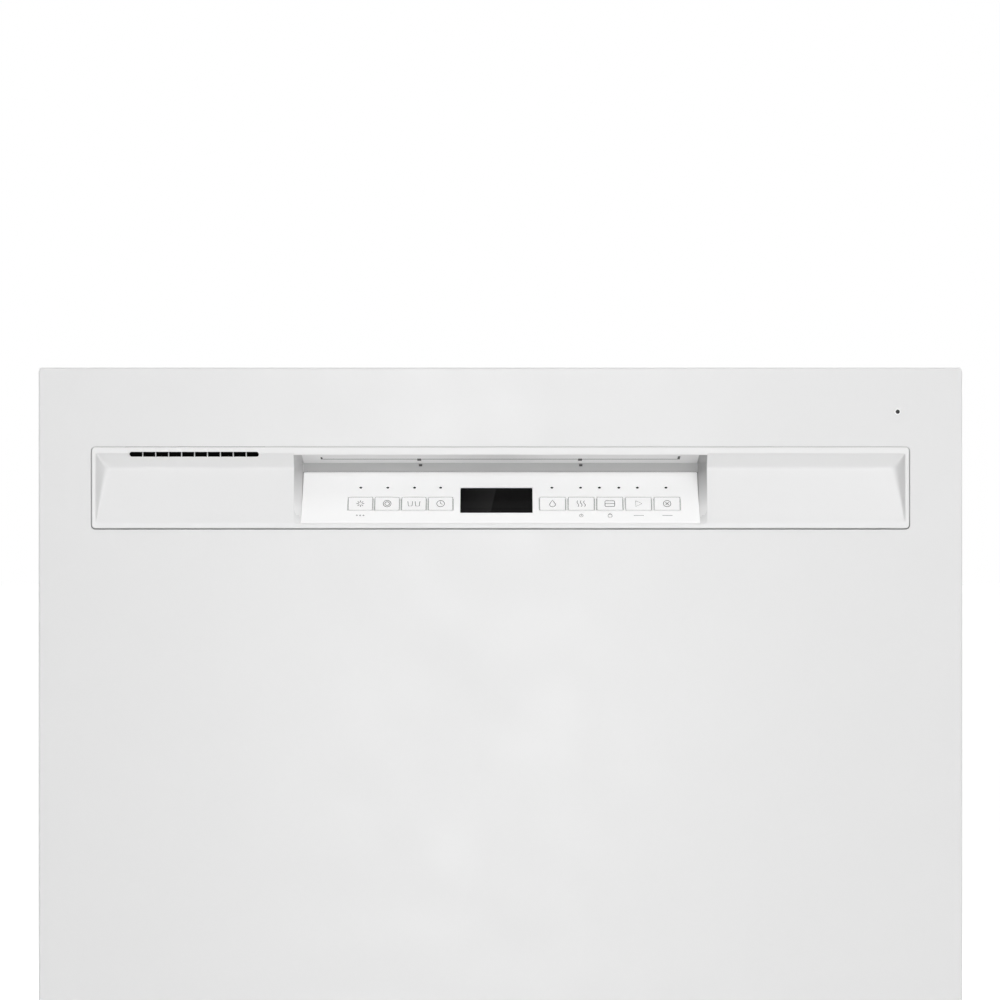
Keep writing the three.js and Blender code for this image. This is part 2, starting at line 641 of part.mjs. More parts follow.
function consoleHousing() {
  const rim = roundedRect([-RIM_HALF, RIM_HALF], [RIM_BOTTOM, RIM_TOP], RIM_RADIUS);
  const collar = roundedRect(
    [-CUTOUT_HALF + FIT, CUTOUT_HALF - FIT],
    [CUTOUT_BOTTOM + FIT, CUTOUT_TOP - FIT],
    RIM_RADIUS,
  );
  const collarInside = roundedRect(
    [-CUTOUT_HALF + COLLAR_WALL, CUTOUT_HALF - COLLAR_WALL],
    [CUTOUT_BOTTOM + COLLAR_WALL, CUTOUT_TOP - COLLAR_WALL],
    RIM_RADIUS,
  );
  const collarY = [FRONT_Y + RIM_THICKNESS / 2, FACE_Y + PANEL_SHEET + 3.7];
  const frame = cut(push("y", collar, collarY), push("y", collarInside, grown(collarY, RUN)));
  const seatDrop = FACEPLATE_SHEET + FIT;
  const throughCutout = asSolid(push("y", collar, [FRONT_Y + RIM_THICKNESS / 2, DISH_Y]));
  const bowls = join(scoop(-1, MOULD_WALL), scoop(1, MOULD_WALL), pocket(MOULD_WALL, seatDrop));
  const shell = join(
    push("y", rim, [FRONT_Y, FRONT_Y + RIM_THICKNESS]),
    frame,
    bowls.intersect(throughCutout),
  );
  const seat = push("z", plateOutline(FIT), [-seatDrop, 2]);
  const windowX = plateHalf - FACEPLATE_EDGE;
  const openBack = box(
    [-windowX, windowX],
    [FACEPLATE_EDGE, slopeLength - FACEPLATE_EDGE],
    [-POCKET_DEPTH, 0],
  );
  const slots = spread(VENT_SLOTS, -1, 1).map((place) => {
    const x = VENT_CENTRE_X + (place * VENT_PITCH * (VENT_SLOTS - 1)) / 2;
    const half = (VENT_PITCH - VENT_BAR) / 2;
    const z = RIM_TOP - VENT_DROP;
    return box([x - half, x + half], [FRONT_Y - RUN, DISH_Y], grown([z, z], VENT_HEIGHT / 2));
  });
  return cut(shell, scoop(-1, 0), scoop(1, 0), pocket(0, 0), onSlope(seat), onSlope(openBack), slots);
}

// ---------------------------------------------------------------- controls on the slope

const keyRow = (count, first, pitch, width) =>
  Array.from({ length: count }, (_, i) => ({ x: first + i * pitch, width }));

const keys = [
  ...keyRow(LEFT_KEYS, LEFT_KEY_FIRST, LEFT_KEY_PITCH, LEFT_KEY_WIDTH),
  ...keyRow(RIGHT_KEYS, RIGHT_KEY_FIRST, RIGHT_KEY_PITCH, RIGHT_KEY_WIDTH),
];

function keyOutline({ x, width }, grow) {
  const half = width / 2 + grow;
  return roundedRect([x - half, x + half], grown([KEY_CENTRE_UP, KEY_CENTRE_UP], KEY_HEIGHT / 2 + grow),
    0.8 + grow);
}

const displayX = grown([DISPLAY_CENTRE_X, DISPLAY_CENTRE_X], DISPLAY_WIDTH / 2);
const displayV = grown([DISPLAY_CENTRE_UP, DISPLAY_CENTRE_UP], DISPLAY_HEIGHT / 2);
const keyFoot = -FACEPLATE_SHEET - 2;
const boardTop = keyFoot - KEY_TRAVEL - FIT;

function controlFaceplate() {
  const holes = keys.map((key) => push("z", keyOutline(key, KEY_GAP), [-FACEPLATE_SHEET - RUN, RUN], 1));
  const window = box(grown(displayX, FIT), grown(displayV, FIT), [-FACEPLATE_SHEET - RUN, RUN]);
  return cut(push("z", plateOutline(0), [-FACEPLATE_SHEET, 0]), holes, window);
}

function keyCap(key) {
  return push("z", keyOutline(key, 0), [keyFoot, KEY_PROUD], 1);
}

function displayWindow() {
  return join(
    box(displayX, displayV, [-FACEPLATE_SHEET, -0.1]),
    box(grown(displayX, -4), grown(displayV, -4), [boardTop + FIT, -DISPLAY_SHEET]),
  );
}

function controlBoard() {
  const half = plateHalf - FACEPLATE_EDGE - RUN;
  const v = [FACEPLATE_EDGE + RUN, slopeLength - FACEPLATE_EDGE - RUN];
  const chips = [-70, 75].map((x) =>
    box([x, x + 24], [v[0] + 5, v[0] + 17], [boardTop - 5, boardTop - 1]));
  const connectors = [-half + 2, half - 10].map((x) =>
    box([x, x + 8], [v[0] + 4, v[1] - 4], [boardTop - 8, boardTop - 1]));
  return join(box([-half, half], v, [boardTop - BOARD_SHEET, boardTop]), chips, connectors);
}

// ---------------------------------------------------------------- dispenser, vent and seal

const cupX = [dispenserX[0] + 16, dispenserX[0] + 16 + CUP_WIDTH];
const cupZ = [dispenserZ[1] - 14 - CUP_HEIGHT, dispenserZ[1] - 14];
const capX = dispenserX[1] - 44;
const capZ = DISPENSER_Z + 8;

function dispenserBody() {
  const face = DISH_Y + 1;
  const flange = 6;
  const lidRun = [cupZ[0] - LID_TRAVEL - 6, cupZ[1] + 6];
  const lip = { side: 3, high: LID_SHEET + 2 * FIT + 1.4 };
  const guides = [cupX[0] - 4 - lip.side - FIT, cupX[1] + 4 + FIT].map((x) =>
    box([x, x + lip.side], [face - RUN, face + lip.high], lidRun));
  return cut(
    join(
      box(dispenserX, [DISH_Y - DISPENSER_DEPTH, face], dispenserZ),
      box(grown(dispenserX, flange), [DISH_Y + FIT, face], grown(dispenserZ, flange)),
      guides,
    ),
    box(cupX, [face - CUP_DEPTH, face + RUN], cupZ),
    rod("y", CAP_RADIUS - 3, [face - 16, face + RUN], [capX, capZ], 20),
  );
}

function dispenserLid() {
  const back = DISH_Y + 1 + FIT;
  const pull = box(grown(cupX, -20), [back, back + LID_SHEET + 3], [cupZ[1] - 6, cupZ[1] - 2]);
  return join(box(grown(cupX, 4), [back, back + LID_SHEET], grown(cupZ, 4)), pull);
}

function rinseAidCap() {
  const face = DISH_Y + 1 + FIT;
  return join(
    rod("y", CAP_RADIUS, [face, face + 3], [capX, capZ], 24),
    rod("y", CAP_RADIUS - 4, [face - 10, face + 1], [capX, capZ], 24),
    box([capX - CAP_RADIUS + 3, capX + CAP_RADIUS - 3], [face + 2, face + 8], [capZ - 2.5, capZ + 2.5]),
  );
}

function doorVent() {
  const face = DISH_Y + FIT;
  const louvres = spread(4, -14, 14).map((dz) =>
    box([ventX - 17, ventX + 17], [face - 20, face + 8], [ventZ + dz - 2, ventZ + dz + 2]));
  return cut(
    join(
      rod("y", VENT_RADIUS, [face, face + 4], [ventX, ventZ], 24, VENT_RADIUS - 2),
      rod("y", VENT_RADIUS - 6 - FIT, [face - 14, face + 1], [ventX, ventZ], 24),
    ),
    louvres,
  );
}

function lowerDoorSeal() {
  const z = [LINER_BOTTOM + 2, LINER_BOTTOM + 12];
  const lip = outline([[LINER_Y + FIT, z[0]], [TUB_FRONT - FIT, z[0] + 4], [TUB_FRONT - FIT, z[0] + 6],
    [LINER_Y + FIT, z[1]]]);
  return push("x", lip, [-TUB_HALF, TUB_HALF]);
}

function doorInsulation() {
  const y = [FACE_Y + PANEL_SHEET + FIT, FACE_Y + PANEL_SHEET + FIT + INSULATION_THICKNESS];
  return box([-LINER_HALF + 12, LINER_HALF - 12], y, [LINER_BOTTOM + 6, RIM_BOTTOM - 14]);
}

// ---------------------------------------------------------------- hinges and springs

const armX = [LINER_HALF - LINER_SHEET - FIT - ARM_SHEET, LINER_HALF - LINER_SHEET - FIT];
const tailTip = HINGE_Y + TAIL_LENGTH;

function hingeArm(side) {
  const front = HINGE_Y - ARM_WIDTH + 5;
  const back = front + ARM_WIDTH;
  const top = HINGE_Z + ARM_LENGTH;
  const blade = outline([[front, HINGE_Z - 8], [HINGE_Y + 10, HINGE_Z - 12], [tailTip + 7, HINGE_Z - 7],
    [tailTip + 7, HINGE_Z + 7], [HINGE_Y + 14, HINGE_Z + 12], [back, HINGE_Z + 26], [back, top - 8],
    [back - 8, top], [front + 8, top], [front, top - 8]]);
  const pinEnd = BASE_HALF + 0.8;
  const x = side > 0 ? armX : [-armX[1], -armX[0]];
  const beyond = (end) => (side > 0 ? [armX[0] + 1, end] : [-end, -armX[0] - 1]);
  return join(
    push("x", blade, x),
    rod("x", HINGE_PIN, beyond(pinEnd), [HINGE_Y, HINGE_Z], 16),
    rod("x", STUD_RADIUS, beyond(BASE_HALF - BASE_WALL - FIT), [tailTip, HINGE_Z], 10),
  );
}

// Extension spring with an eye round each stud, legs, and a coil between them.
function doorSpring(side) {
  const lane = side * (armX[1] + 2);
  const coilX = side * (armX[1] - 1.6);
  const span = new THREE.Vector2(ANCHOR_Y - tailTip, ANCHOR_Z - HINGE_Z);
  const reach = span.length();
  const along = span.clone().normalize();
  const across = new THREE.Vector2(-along.y, along.x);
  const eye = STUD_RADIUS + RUN + SPRING_WIRE;
  const at = (x, s, t) => [
    x,
    tailTip + along.x * s + across.x * t,
    HINGE_Z + along.y * s + across.y * t,
  ];
  const loop = (centre, start, direction) =>
    spread(7, 0, 1.5 * Math.PI).map((turn) => {
      const angle = start + direction * turn;
      return at(lane, centre + eye * Math.cos(angle), eye * Math.sin(angle));
    });
  const coil = [];
  const stepsPerTurn = 6;
  for (let i = 0; i <= SPRING_TURNS * stepsPerTurn; i += 1) {
    const angle = (2 * Math.PI * i) / stepsPerTurn;
    const s = SPRING_LEG + ((reach - 2 * SPRING_LEG) * i) / (SPRING_TURNS * stepsPerTurn);
    coil.push(at(coilX + side * SPRING_RADIUS * Math.sin(angle), s, SPRING_RADIUS * Math.cos(angle)));
  }
  const path = [...loop(0, Math.PI, 1), ...coil, ...loop(reach, -Math.PI / 2, 1)];
  return bentBar(path, SPRING_WIRE, SPRING_TURNS * stepsPerTurn + 22, 2);
}

// ---------------------------------------------------------------- tub, gasket and wrap

const feetY = [BASE_FRONT + FOOT_INSET, BACK_Y - FOOT_INSET];
const elementGap = 0.42; // half of the ring's open angle, radians
const elementLegs = [-1, 1].map((side) => [
  side * ELEMENT_RADIUS * Math.sin(elementGap),
  SUMP_Y + ELEMENT_RADIUS * Math.cos(elementGap),
]);
const elementZ = BASIN_Z + 12;
const floatY = TUB_FRONT + FLOAT_INSET;
const ductHalf = 14;
const ductY = [TUB_BACK - TUB_SHEET - FIT - DUCT_DEPTH, TUB_BACK - TUB_SHEET - FIT];
const railZ = [UPPER_RACK_Z + RAIL_RISE, UPPER_RACK_Z + RAIL_RISE + RAIL_HEIGHT];
const railX = [TUB_INNER - 9, TUB_INNER - 9 + RAIL_WIDTH];
const rollerZ = (railZ[0] + railZ[1]) / 2;

const basinHalf = ELEMENT_RADIUS + BASIN_SIDE_MARGIN;
const basinY = [
  SUMP_Y - ELEMENT_RADIUS - BASIN_FRONT_MARGIN,
  SUMP_Y + ELEMENT_RADIUS + BASIN_BACK_MARGIN,
];

function basin(grow, [z0, z1]) {
  const ring = (inset, z) =>
    [-basinHalf + inset - grow, basinHalf - inset + grow].flatMap((x) => [
      [x, basinY[0] + inset - grow, z],
      [x, basinY[1] - inset + grow, z],
    ]);
  return hull([...ring(BASIN_SLOPE, z0), ...ring(0, z1)]);
}

// Bearing blocks on studs of the side wall, in which a rack rail runs.
function railBearing(side, y) {
  const gap = RUN / 2;
  const root = TUB_INNER + TUB_SHEET / 2;
  const x = side > 0 ? [railX[0] - 3, root] : [-root, -railX[0] + 3];
  const groove = side > 0 ? [railX[0] - gap, railX[1] + gap] : [-railX[1] - gap, -railX[0] + gap];
  const mouth = side > 0 ? [railX[0] - 4, railX[0]] : [-railX[0], -railX[0] + 4];
  return cut(
    box(x, [y - 11, y + 11], grown(railZ, 5)),
    box(groove, [y - 12, y + 12], grown(railZ, gap)),
    box(mouth, [y - 12, y + 12], grown(railZ, -BEARING_LIP)),
  );
}

function tub() {
  const sheet = TUB_SHEET;
  const outer = roundedRect([-TUB_HALF, TUB_HALF], [TUB_FLOOR - sheet, TUB_TOP], TUB_RADIUS);
  const inner = roundedRect([-TUB_INNER, TUB_INNER], [TUB_FLOOR, TUB_TOP - sheet], TUB_RADIUS - sheet);
  const flangeHalf = TUB_HALF + FLANGE_MARGIN;
  const bearings = [-1, 1].flatMap((side) =>
    [BEARING_SETBACK, BEARING_SETBACK + BEARING_PITCH].map((y) => railBearing(side, TUB_FRONT + y)));
  return cut(
    join(
      cut(
        join(
          push("y", outer, [TUB_FRONT, TUB_BACK]),
          box([-flangeHalf, flangeHalf], [TUB_FRONT, TUB_FRONT + sheet], [FLANGE_FOOT, FLANGE_HEAD]),
          basin(sheet, [BASIN_Z - sheet, TUB_FLOOR - sheet / 2]),
        ),
        push("y", inner, [TUB_FRONT - RUN, TUB_BACK - sheet]),
        basin(0, [BASIN_Z, TUB_FLOOR + sheet / 2]),
      ),
      bearings,
    ),
    rod("z", SUMP_RADIUS + 2 * RUN, [BASIN_Z - 5, TUB_FLOOR], [0, SUMP_Y], 20),
    elementLegs.map((place) => rod("z", ELEMENT_TUBE + RUN, [BASIN_Z - 5, TUB_FLOOR], place, 8)),
    rod("z", 3.6, [TUB_FLOOR - 5, TUB_FLOOR + 1], [FLOAT_X, floatY], 8),
    box([-ductHalf - FIT, ductHalf + FIT], grown(ductY, FIT), [TUB_FLOOR - 30, TUB_FLOOR + 1]),
  );
}

function tubGasket() {
  const y = [LINER_Y + FIT, TUB_FRONT - FIT];
  const foot = LINER_BOTTOM + 14;
  const reach = TUB_HALF + 4;
  const head = strikeZ[0] - 1;
  const bulb = box([-reach, reach], y, [foot, head]);
  const hollow = box(
    [-reach + GASKET_WIDTH, reach - GASKET_WIDTH],
    grown(y, RUN),
    [foot - RUN, head - GASKET_WIDTH],
  );
  return cut(bulb, hollow);
}

function insulationWrap() {
  const y = [TUB_FRONT + WRAP_SETBACK, TUB_BACK];
  const inner = TUB_HALF + FIT;
  const outer = inner + WRAP_THICKNESS;
  const foot = TUB_FLOOR + 6;
  const top = TUB_TOP + FIT;
  const radius = TUB_RADIUS + WRAP_THICKNESS;
  const blanket = roundedRect([-outer, outer], [foot - radius, top + WRAP_THICKNESS], radius);
  const core = roundedRect([-inner, inner], [foot - radius - RUN, top], TUB_RADIUS);
  return cut(
    push("y", blanket, y),
    push("y", core, grown(y, RUN)),
    box(grown([-outer, outer], RUN), grown(y, RUN), [foot - radius - RUN, foot]),
  );
}

// ---------------------------------------------------------------- base

function baseFrame() {
  const wall = BASE_WALL;
  const inside = BASE_HALF - wall;
  const y = [BASE_FRONT, BACK_Y];
  const across = grown([-BASE_HALF, BASE_HALF], RUN);
  const windowsY = spread(WINDOWS, y[0] + WINDOW_SETBACK, y[1] - WINDOW_BACK)
    .map((middle) => grown([middle, middle], WINDOW_LENGTH / 2));
  const tray = cut(
    box([-BASE_HALF, BASE_HALF], y, [BASE_CLEARANCE, BASE_TOP]),
    box([-inside, inside], [y[0] + wall, y[1] - wall], [TRAY_Z, BASE_TOP + RUN]),
    box(across, [y[0] - RUN, y[0] + wall + RUN], [TRAY_Z + FRONT_SILL, BASE_TOP + RUN]),
    box(
      grown([-inside, inside], -BACK_JAMB),
      [y[1] - 3 * wall, y[1] + RUN],
      [TRAY_Z + BACK_SILL, BASE_TOP + RUN],
    ),
  );
  const windows = windowsY.map((span) =>
    box(across, span, [TRAY_Z + WINDOW_SILL, BASE_TOP - WINDOW_HEAD]));
  const supports = [-SUPPORT_X, SUPPORT_X].map((x) => {
    const rib = box(
      grown([x, x], SUPPORT_WALL / 2),
      [y[0] + 60, TUB_BACK],
      [TRAY_Z - 1, TUB_FLOOR - TUB_SHEET - FIT],
    );
    const lightening = windowsY.map((span) =>
      box(grown([x, x], SUPPORT_WALL), span, [TRAY_Z + RIB_SILL, TUB_FLOOR - RIB_HEAD]));
    return cut(rib, lightening);
  });
  const bossZ = [BASE_CLEARANCE, BASE_CLEARANCE + BOSS_HEIGHT];
  const bosses = [-FOOT_X, FOOT_X].flatMap((x) =>
    feetY.map((footY) => rod("z", BOSS_RADIUS, bossZ, [x, footY], 12)));
  const bores = [-FOOT_X, FOOT_X].flatMap((x) =>
    feetY.map((footY) => rod("z", FOOT_STUD + FIT, grown(bossZ, RUN), [x, footY], 12)));
  const lugs = [[-BASE_HALF, -inside], [inside, BASE_HALF]].map((x) =>
    box(x, [HINGE_Y - LUG_HEIGHT / 2, y[0] + 20], grown([HINGE_Z, HINGE_Z], LUG_HEIGHT / 2)));
  const pinHole = rod("x", HINGE_PIN + FIT, across, [HINGE_Y, HINGE_Z], 16);
  const studs = [-1, 1].map((side) => {
    const reach = side > 0 ? [armX[0] - 2, BASE_HALF - 1] : [-BASE_HALF + 1, -armX[0] + 2];
    return rod("x", STUD_RADIUS, reach, [ANCHOR_Y, ANCHOR_Z], 10);
  });
  const anchors = [-1, 1].map((side) => {
    const x = side > 0 ? [inside, BASE_HALF] : [-BASE_HALF, -inside];
    return box(x, grown([ANCHOR_Y, ANCHOR_Y], 14), [TRAY_Z, BASE_TOP - 20]);
  });
  return cut(join(cut(tray, windows), supports, bosses, lugs, anchors, studs), bores, pinHole);
}

function toeKick() {
  const x = BASE_HALF - 8;
  const front = BASE_FRONT - 5;
  const z = [KICK_CLEARANCE, KICK_CLEARANCE + KICK_HEIGHT];
  const sheet = KICK_SHEET;
  return cut(
    box([-x, x], [front, BASE_FRONT - FIT], z),
    box([-x + sheet, x - sheet], [front + sheet, BASE_FRONT + RUN], [z[0] - RUN, z[1] - sheet]),
  );
}

function levellingFoot(x, y) {
  return join(
    rod("z", FOOT_RADIUS, [0, FOOT_HEIGHT], [x, y], 20, FOOT_RADIUS - 3),
    rod("z", FOOT_STUD, [FOOT_HEIGHT - 1, BASE_CLEARANCE + BOSS_HEIGHT - 5], [x, y], 12),
  );
}

function counterBracket(side) {
  const middle = side * (TUB_HALF - BRACKET_INSET);
  const x = grown([middle, middle], BRACKET_WIDTH / 2);
  const sheet = BRACKET_SHEET;
  const seat = TUB_TOP + FIT + WRAP_THICKNESS + FIT;
  const tab = [TUB_FRONT + TUB_SHEET + FIT, TUB_FRONT + TUB_SHEET + FIT + sheet];
  return cut(
    join(
      box(x, [tab[0], tab[0] + BRACKET_LENGTH], [seat, seat + sheet]),
      box(x, tab, [TUB_TOP + 1, seat + sheet]),
    ),
    rod("z", SCREW_RADIUS, [seat - RUN, seat + sheet + RUN], [middle, tab[0] + BRACKET_HOLE], 10),
  );
}

// ---------------------------------------------------------------- sump, filter, pumps and heater

const filterPlace = [FILTER_OFFSET, SUMP_Y];
const bowlFloor = PLATE_Z - SUMP_DEPTH;
const pumpZ = bowlFloor + 24;

function sump() {
  const plateTopZ = PLATE_Z + SUMP_PLATE;
  const bowl = [[0, bowlFloor], [SUMP_RADIUS - 12, bowlFloor], [SUMP_RADIUS, bowlFloor + 20],
    [SUMP_RADIUS, PLATE_Z], [SUMP_RADIUS + SUMP_FLANGE, PLATE_Z], [SUMP_RADIUS + SUMP_FLANGE, plateTopZ],
    [0, plateTopZ]];
  const wall = SUMP_WALL;
  const hollow = [[0, bowlFloor + wall], [SUMP_RADIUS - 12 - wall, bowlFloor + wall],
    [SUMP_RADIUS - wall, bowlFloor + 20], [SUMP_RADIUS - wall, PLATE_Z - 1], [0, PLATE_Z - 1]];
  const stub = rod("x", 20, grown([-SUMP_RADIUS, -SUMP_RADIUS], STUB_LENGTH), [SUMP_Y, pumpZ], 16);
  const drainStub = rod("x", 12, grown([SUMP_RADIUS, SUMP_RADIUS], STUB_LENGTH), [SUMP_Y, pumpZ], 12);
  return join(
    cut(
      join(revolve(bowl, [0, SUMP_Y]), stub, drainStub),
      revolve(hollow, [0, SUMP_Y]),
      rod("z", FILTER_RADIUS + RUN, [PLATE_Z - 5, plateTopZ + RUN], filterPlace, 20),
    ),
    rod("z", POST_RADIUS + 4, [bowlFloor + 1, LOWER_ARM_Z - FIT], [0, SUMP_Y], 16),
    rod("z", POST_RADIUS, [bowlFloor + 2, LOWER_ARM_Z + ARM_THICKNESS - 3], [0, SUMP_Y], 16),
  );
}

function filterCylinder() {
  const top = PLATE_Z + SUMP_PLATE;
  const radius = FILTER_RADIUS;
  const flat = [radius - 2.5, bowlFloor + SUMP_WALL + 8];
  const shell = [
    [radius, flat[1]],
    [radius, top],
    [radius + FILTER_LIP, top + FIT],
    [radius + FILTER_LIP, top + 3],
    [flat[0], top + 3],
    [flat[0], flat[1]],
    [radius, flat[1]],
  ];
  const slits = spread(3, bowlFloor + 28, PLATE_Z - 18).flatMap((z) => [
    box(grown([FILTER_OFFSET, FILTER_OFFSET], radius + 4), grown([SUMP_Y, SUMP_Y], 13), [z, z + 5]),
    box(grown([FILTER_OFFSET, FILTER_OFFSET], 13), grown([SUMP_Y, SUMP_Y], radius + 4), [z, z + 5]),
  ]);
  const handle = box(
    grown([FILTER_OFFSET, FILTER_OFFSET], 3),
    grown([SUMP_Y, SUMP_Y], radius - 1),
    [top, top + 11],
  );
  return join(cut(revolve(shell, filterPlace), slits), handle);
}

function sprayArm(reach, z, hubRadius) {
  const half = reach - ARM_END;
  const waist = ARM_END + 2;
  const blade = new THREE.Shape();
  blade.absarc(half, 0, ARM_END, -Math.PI / 2, Math.PI / 2);
  blade.quadraticCurveTo(half / 2, waist, 0, ARM_ROOT);
  blade.quadraticCurveTo(-half / 2, waist, -half, ARM_END);
  blade.absarc(-half, 0, ARM_END, Math.PI / 2, 1.5 * Math.PI);
  blade.quadraticCurveTo(-half / 2, -waist, 0, -ARM_ROOT);
  blade.quadraticCurveTo(half / 2, -waist, half, -ARM_END);
  const body = push("z", blade, [z + 2, z + ARM_THICKNESS], 4).translate(0, SUMP_Y, 0);
  const jetZ = [z + 6, z + ARM_THICKNESS + 1];
  const jets = spread(4, 0.35, 0.95).flatMap((share) =>
    [-1, 1].map((side) => rod("z", JET_RADIUS, jetZ, [side * share * half, SUMP_Y + 6 * side], 6)));
  return cut(join(body, rod("z", hubRadius, [z, z + ARM_THICKNESS], [0, SUMP_Y], 20)), jets);
}

function lowerSprayArm() {
  const boreZ = [LOWER_ARM_Z - 1, LOWER_ARM_Z + ARM_THICKNESS - 2];
  const bore = rod("z", POST_RADIUS + 0.5, boreZ, [0, SUMP_Y], 16);
  return cut(sprayArm(LOWER_ARM_REACH, LOWER_ARM_Z, 26), bore);
}

function heatingElement() {
  const sweep = spread(17, elementGap, 2 * Math.PI - elementGap).map((angle) => [
    ELEMENT_RADIUS * Math.sin(angle),
    SUMP_Y + ELEMENT_RADIUS * Math.cos(angle),
    elementZ,
  ]);
  const leg = ([x, y]) => [4, 10, 18, 34].map((below) => [x, y, elementZ - below]);
  const path = [...leg(elementLegs[1]).reverse(), ...sweep.slice(1, -1), ...leg(elementLegs[0])];
  return bentBar(path, ELEMENT_TUBE, 36, 3);
}

function washPumpMotor() {
  const start = -SUMP_RADIUS - STUB_LENGTH - FIT;
  const end = -SUPPORT_X + SUPPORT_WALL / 2 + MOTOR_CLEARANCE;
  const can = [end + MOTOR_BOSS, start - PUMP_LENGTH];
  const middle = (can[0] + can[1]) / 2;
  return join(
    rod("x", PUMP_RADIUS, [start - PUMP_LENGTH, start], [SUMP_Y, pumpZ], 20),
    rod("x", MOTOR_RADIUS, [can[0], can[1] + 2], [SUMP_Y, pumpZ], 24),
    rod("x", 16, [end, can[0] + 1], [SUMP_Y, pumpZ], 16),
    box(grown([middle, middle], 20), grown([SUMP_Y, SUMP_Y], 12), [TRAY_Z + FIT, pumpZ]),
  );
}

function drainPump() {
  const start = SUMP_RADIUS + STUB_LENGTH + FIT;
  return join(
    rod("x", 20, [start, start + 20], [SUMP_Y, pumpZ], 16),
    rod("x", DRAIN_RADIUS, [start + 18, start + 18 + DRAIN_LENGTH], [SUMP_Y, pumpZ], 20),
    rod("y", 9, [SUMP_Y, SUMP_Y + 46], [start + 12, pumpZ], 12),
  );
}

function inletValve() {
  const x = VALVE_INSET - SUPPORT_X;
  const y = BASE_FRONT + VALVE_SETBACK;
  return join(
    box([x - 16, x + 16], [y - 20, y + 20], [TRAY_Z + FIT, TRAY_Z + VALVE_BODY]),
    rod("z", 11, [TRAY_Z + VALVE_BODY - 2, TRAY_Z + VALVE_HEAD], [x, y + 6], 14),
    rod("y", 9, [y - 44, y - 18], [x, TRAY_Z + 18], 12),
  );
}

function overfillFloat() {
  const cap = TUB_FLOOR + FLOAT_HEIGHT;
  return join(
    revolve([[0, TUB_FLOOR + FIT], [FLOAT_RADIUS, TUB_FLOOR + FIT], [FLOAT_RADIUS, cap - 4],
      [FLOAT_RADIUS - 5, cap], [0, cap]], [FLOAT_X, floatY], 16),
    rod("z", 3, [TUB_FLOOR - 26, TUB_FLOOR + 2], [FLOAT_X, floatY], 8),
  );
}

// ---------------------------------------------------------------- upper spray feed

const manifoldRadius = 8;
const manifoldZ = UPPER_RACK_Z - WIRE - FIT - manifoldRadius;
const upperArmZ = manifoldZ - manifoldRadius - 4 - ARM_THICKNESS;
const upperRackY = [TUB_FRONT + UPPER_RACK_FRONT, TUB_BACK - UPPER_RACK_BACK];

function rearFeedTube() {
  const top = manifoldZ + 40;
  return join(
    box([-ductHalf, ductHalf], ductY, [TUB_FLOOR - 24, top]),
    rod("y", 13, [ductY[0] - 6, ductY[0] + 4], [0, manifoldZ], 20, 15),
  );
}

function sprayManifold() {
  const dock = ductY[0] - 6 - FIT;
  return join(
    rod("y", manifoldRadius, [SUMP_Y, dock - 10], [0, manifoldZ], 16),
    rod("y", 13, [dock - 12, dock], [0, manifoldZ], 20),
    rod("z", 15, [manifoldZ - manifoldRadius - 4 + FIT, manifoldZ + 4], [0, SUMP_Y], 20),
    rod("z", 6, [upperArmZ + 3, manifoldZ], [0, SUMP_Y], 12),
  );
}

function upperSprayArm() {
  const bore = rod("z", 6.5, [upperArmZ + 2, upperArmZ + ARM_THICKNESS + 1], [0, SUMP_Y], 12);
  return cut(sprayArm(UPPER_ARM_REACH, upperArmZ, 20), bore);
}

// ---------------------------------------------------------------- racks

const lowerRackY = [TUB_FRONT + LOWER_RACK_FRONT, TUB_BACK - LOWER_RACK_BACK];
const wheelY = [lowerRackY[0] + WHEEL_INSET, lowerRackY[1] - WHEEL_INSET];
const wheelX = [LOWER_RACK_HALF + RIM_WIRE + RUN, LOWER_RACK_HALF + RIM_WIRE + RUN + WHEEL_WIDTH];
const wheelZ = TUB_FLOOR + FIT + WHEEL_RADIUS;

function hoop(half, y, z, radius) {
  const shape = roundedRect(grown([-half, half], radius), grown(y, radius), HOOP_RADIUS + radius);
  shape.holes.push(roundedRect(grown([-half, half], -radius), grown(y, -radius), HOOP_RADIUS - radius));
  return push("z", shape, grown([z, z], radius), 2);
}

// A wire bent up at both ends, as an outline in the plane in which it is bent.
function bentWire([u0, u1], [v0, v1]) {
  const turn = WIRE * Math.tan(Math.PI / 8);
  const side = (offset) => {
    const corner = WIRE_BEND - (offset / WIRE) * turn;
    return [[u0 - offset, v1], [u0 - offset, v0 + corner], [u0 + corner, v0 - offset],
      [u1 - corner, v0 - offset], [u1 + offset, v0 + corner], [u1 + offset, v1]];
  };
  return outline([...side(WIRE), ...side(-WIRE).reverse()]);
}

function rackCrossY([y0, y1]) {
  return spread(RACK_CROSSWAYS, y0 + RACK_END_INSET, y1 - RACK_END_INSET);
}

// A basket of bent wires: floor wires both ways that rise at their ends to the rim.
function wireBasket(half, [y0, y1], [z0, z1]) {
  const lengthways = spread(RACK_LENGTHWAYS, -half + RACK_SIDE_INSET, half - RACK_SIDE_INSET).map((x) =>
    push("x", bentWire([y0, y1], [z0, z1]), grown([x, x], WIRE)));
  const crossways = rackCrossY([y0, y1]).map((y) =>
    push("y", bentWire([-half, half], [z0 + 1.2 * WIRE, z1]), grown([y, y], WIRE)));
  const hoops = [hoop(half, [y0, y1], z1, RIM_WIRE), hoop(half, [y0, y1], (z0 + z1) / 2, 1.15 * WIRE)];
  return [...hoops, ...lengthways, ...crossways];
}

function tineRow(x, y, z, height, count) {
  return spread(count, x[0], x[1]).map((at) => wire([at, y, z], [at, y, z + height], WIRE * 0.9));
}

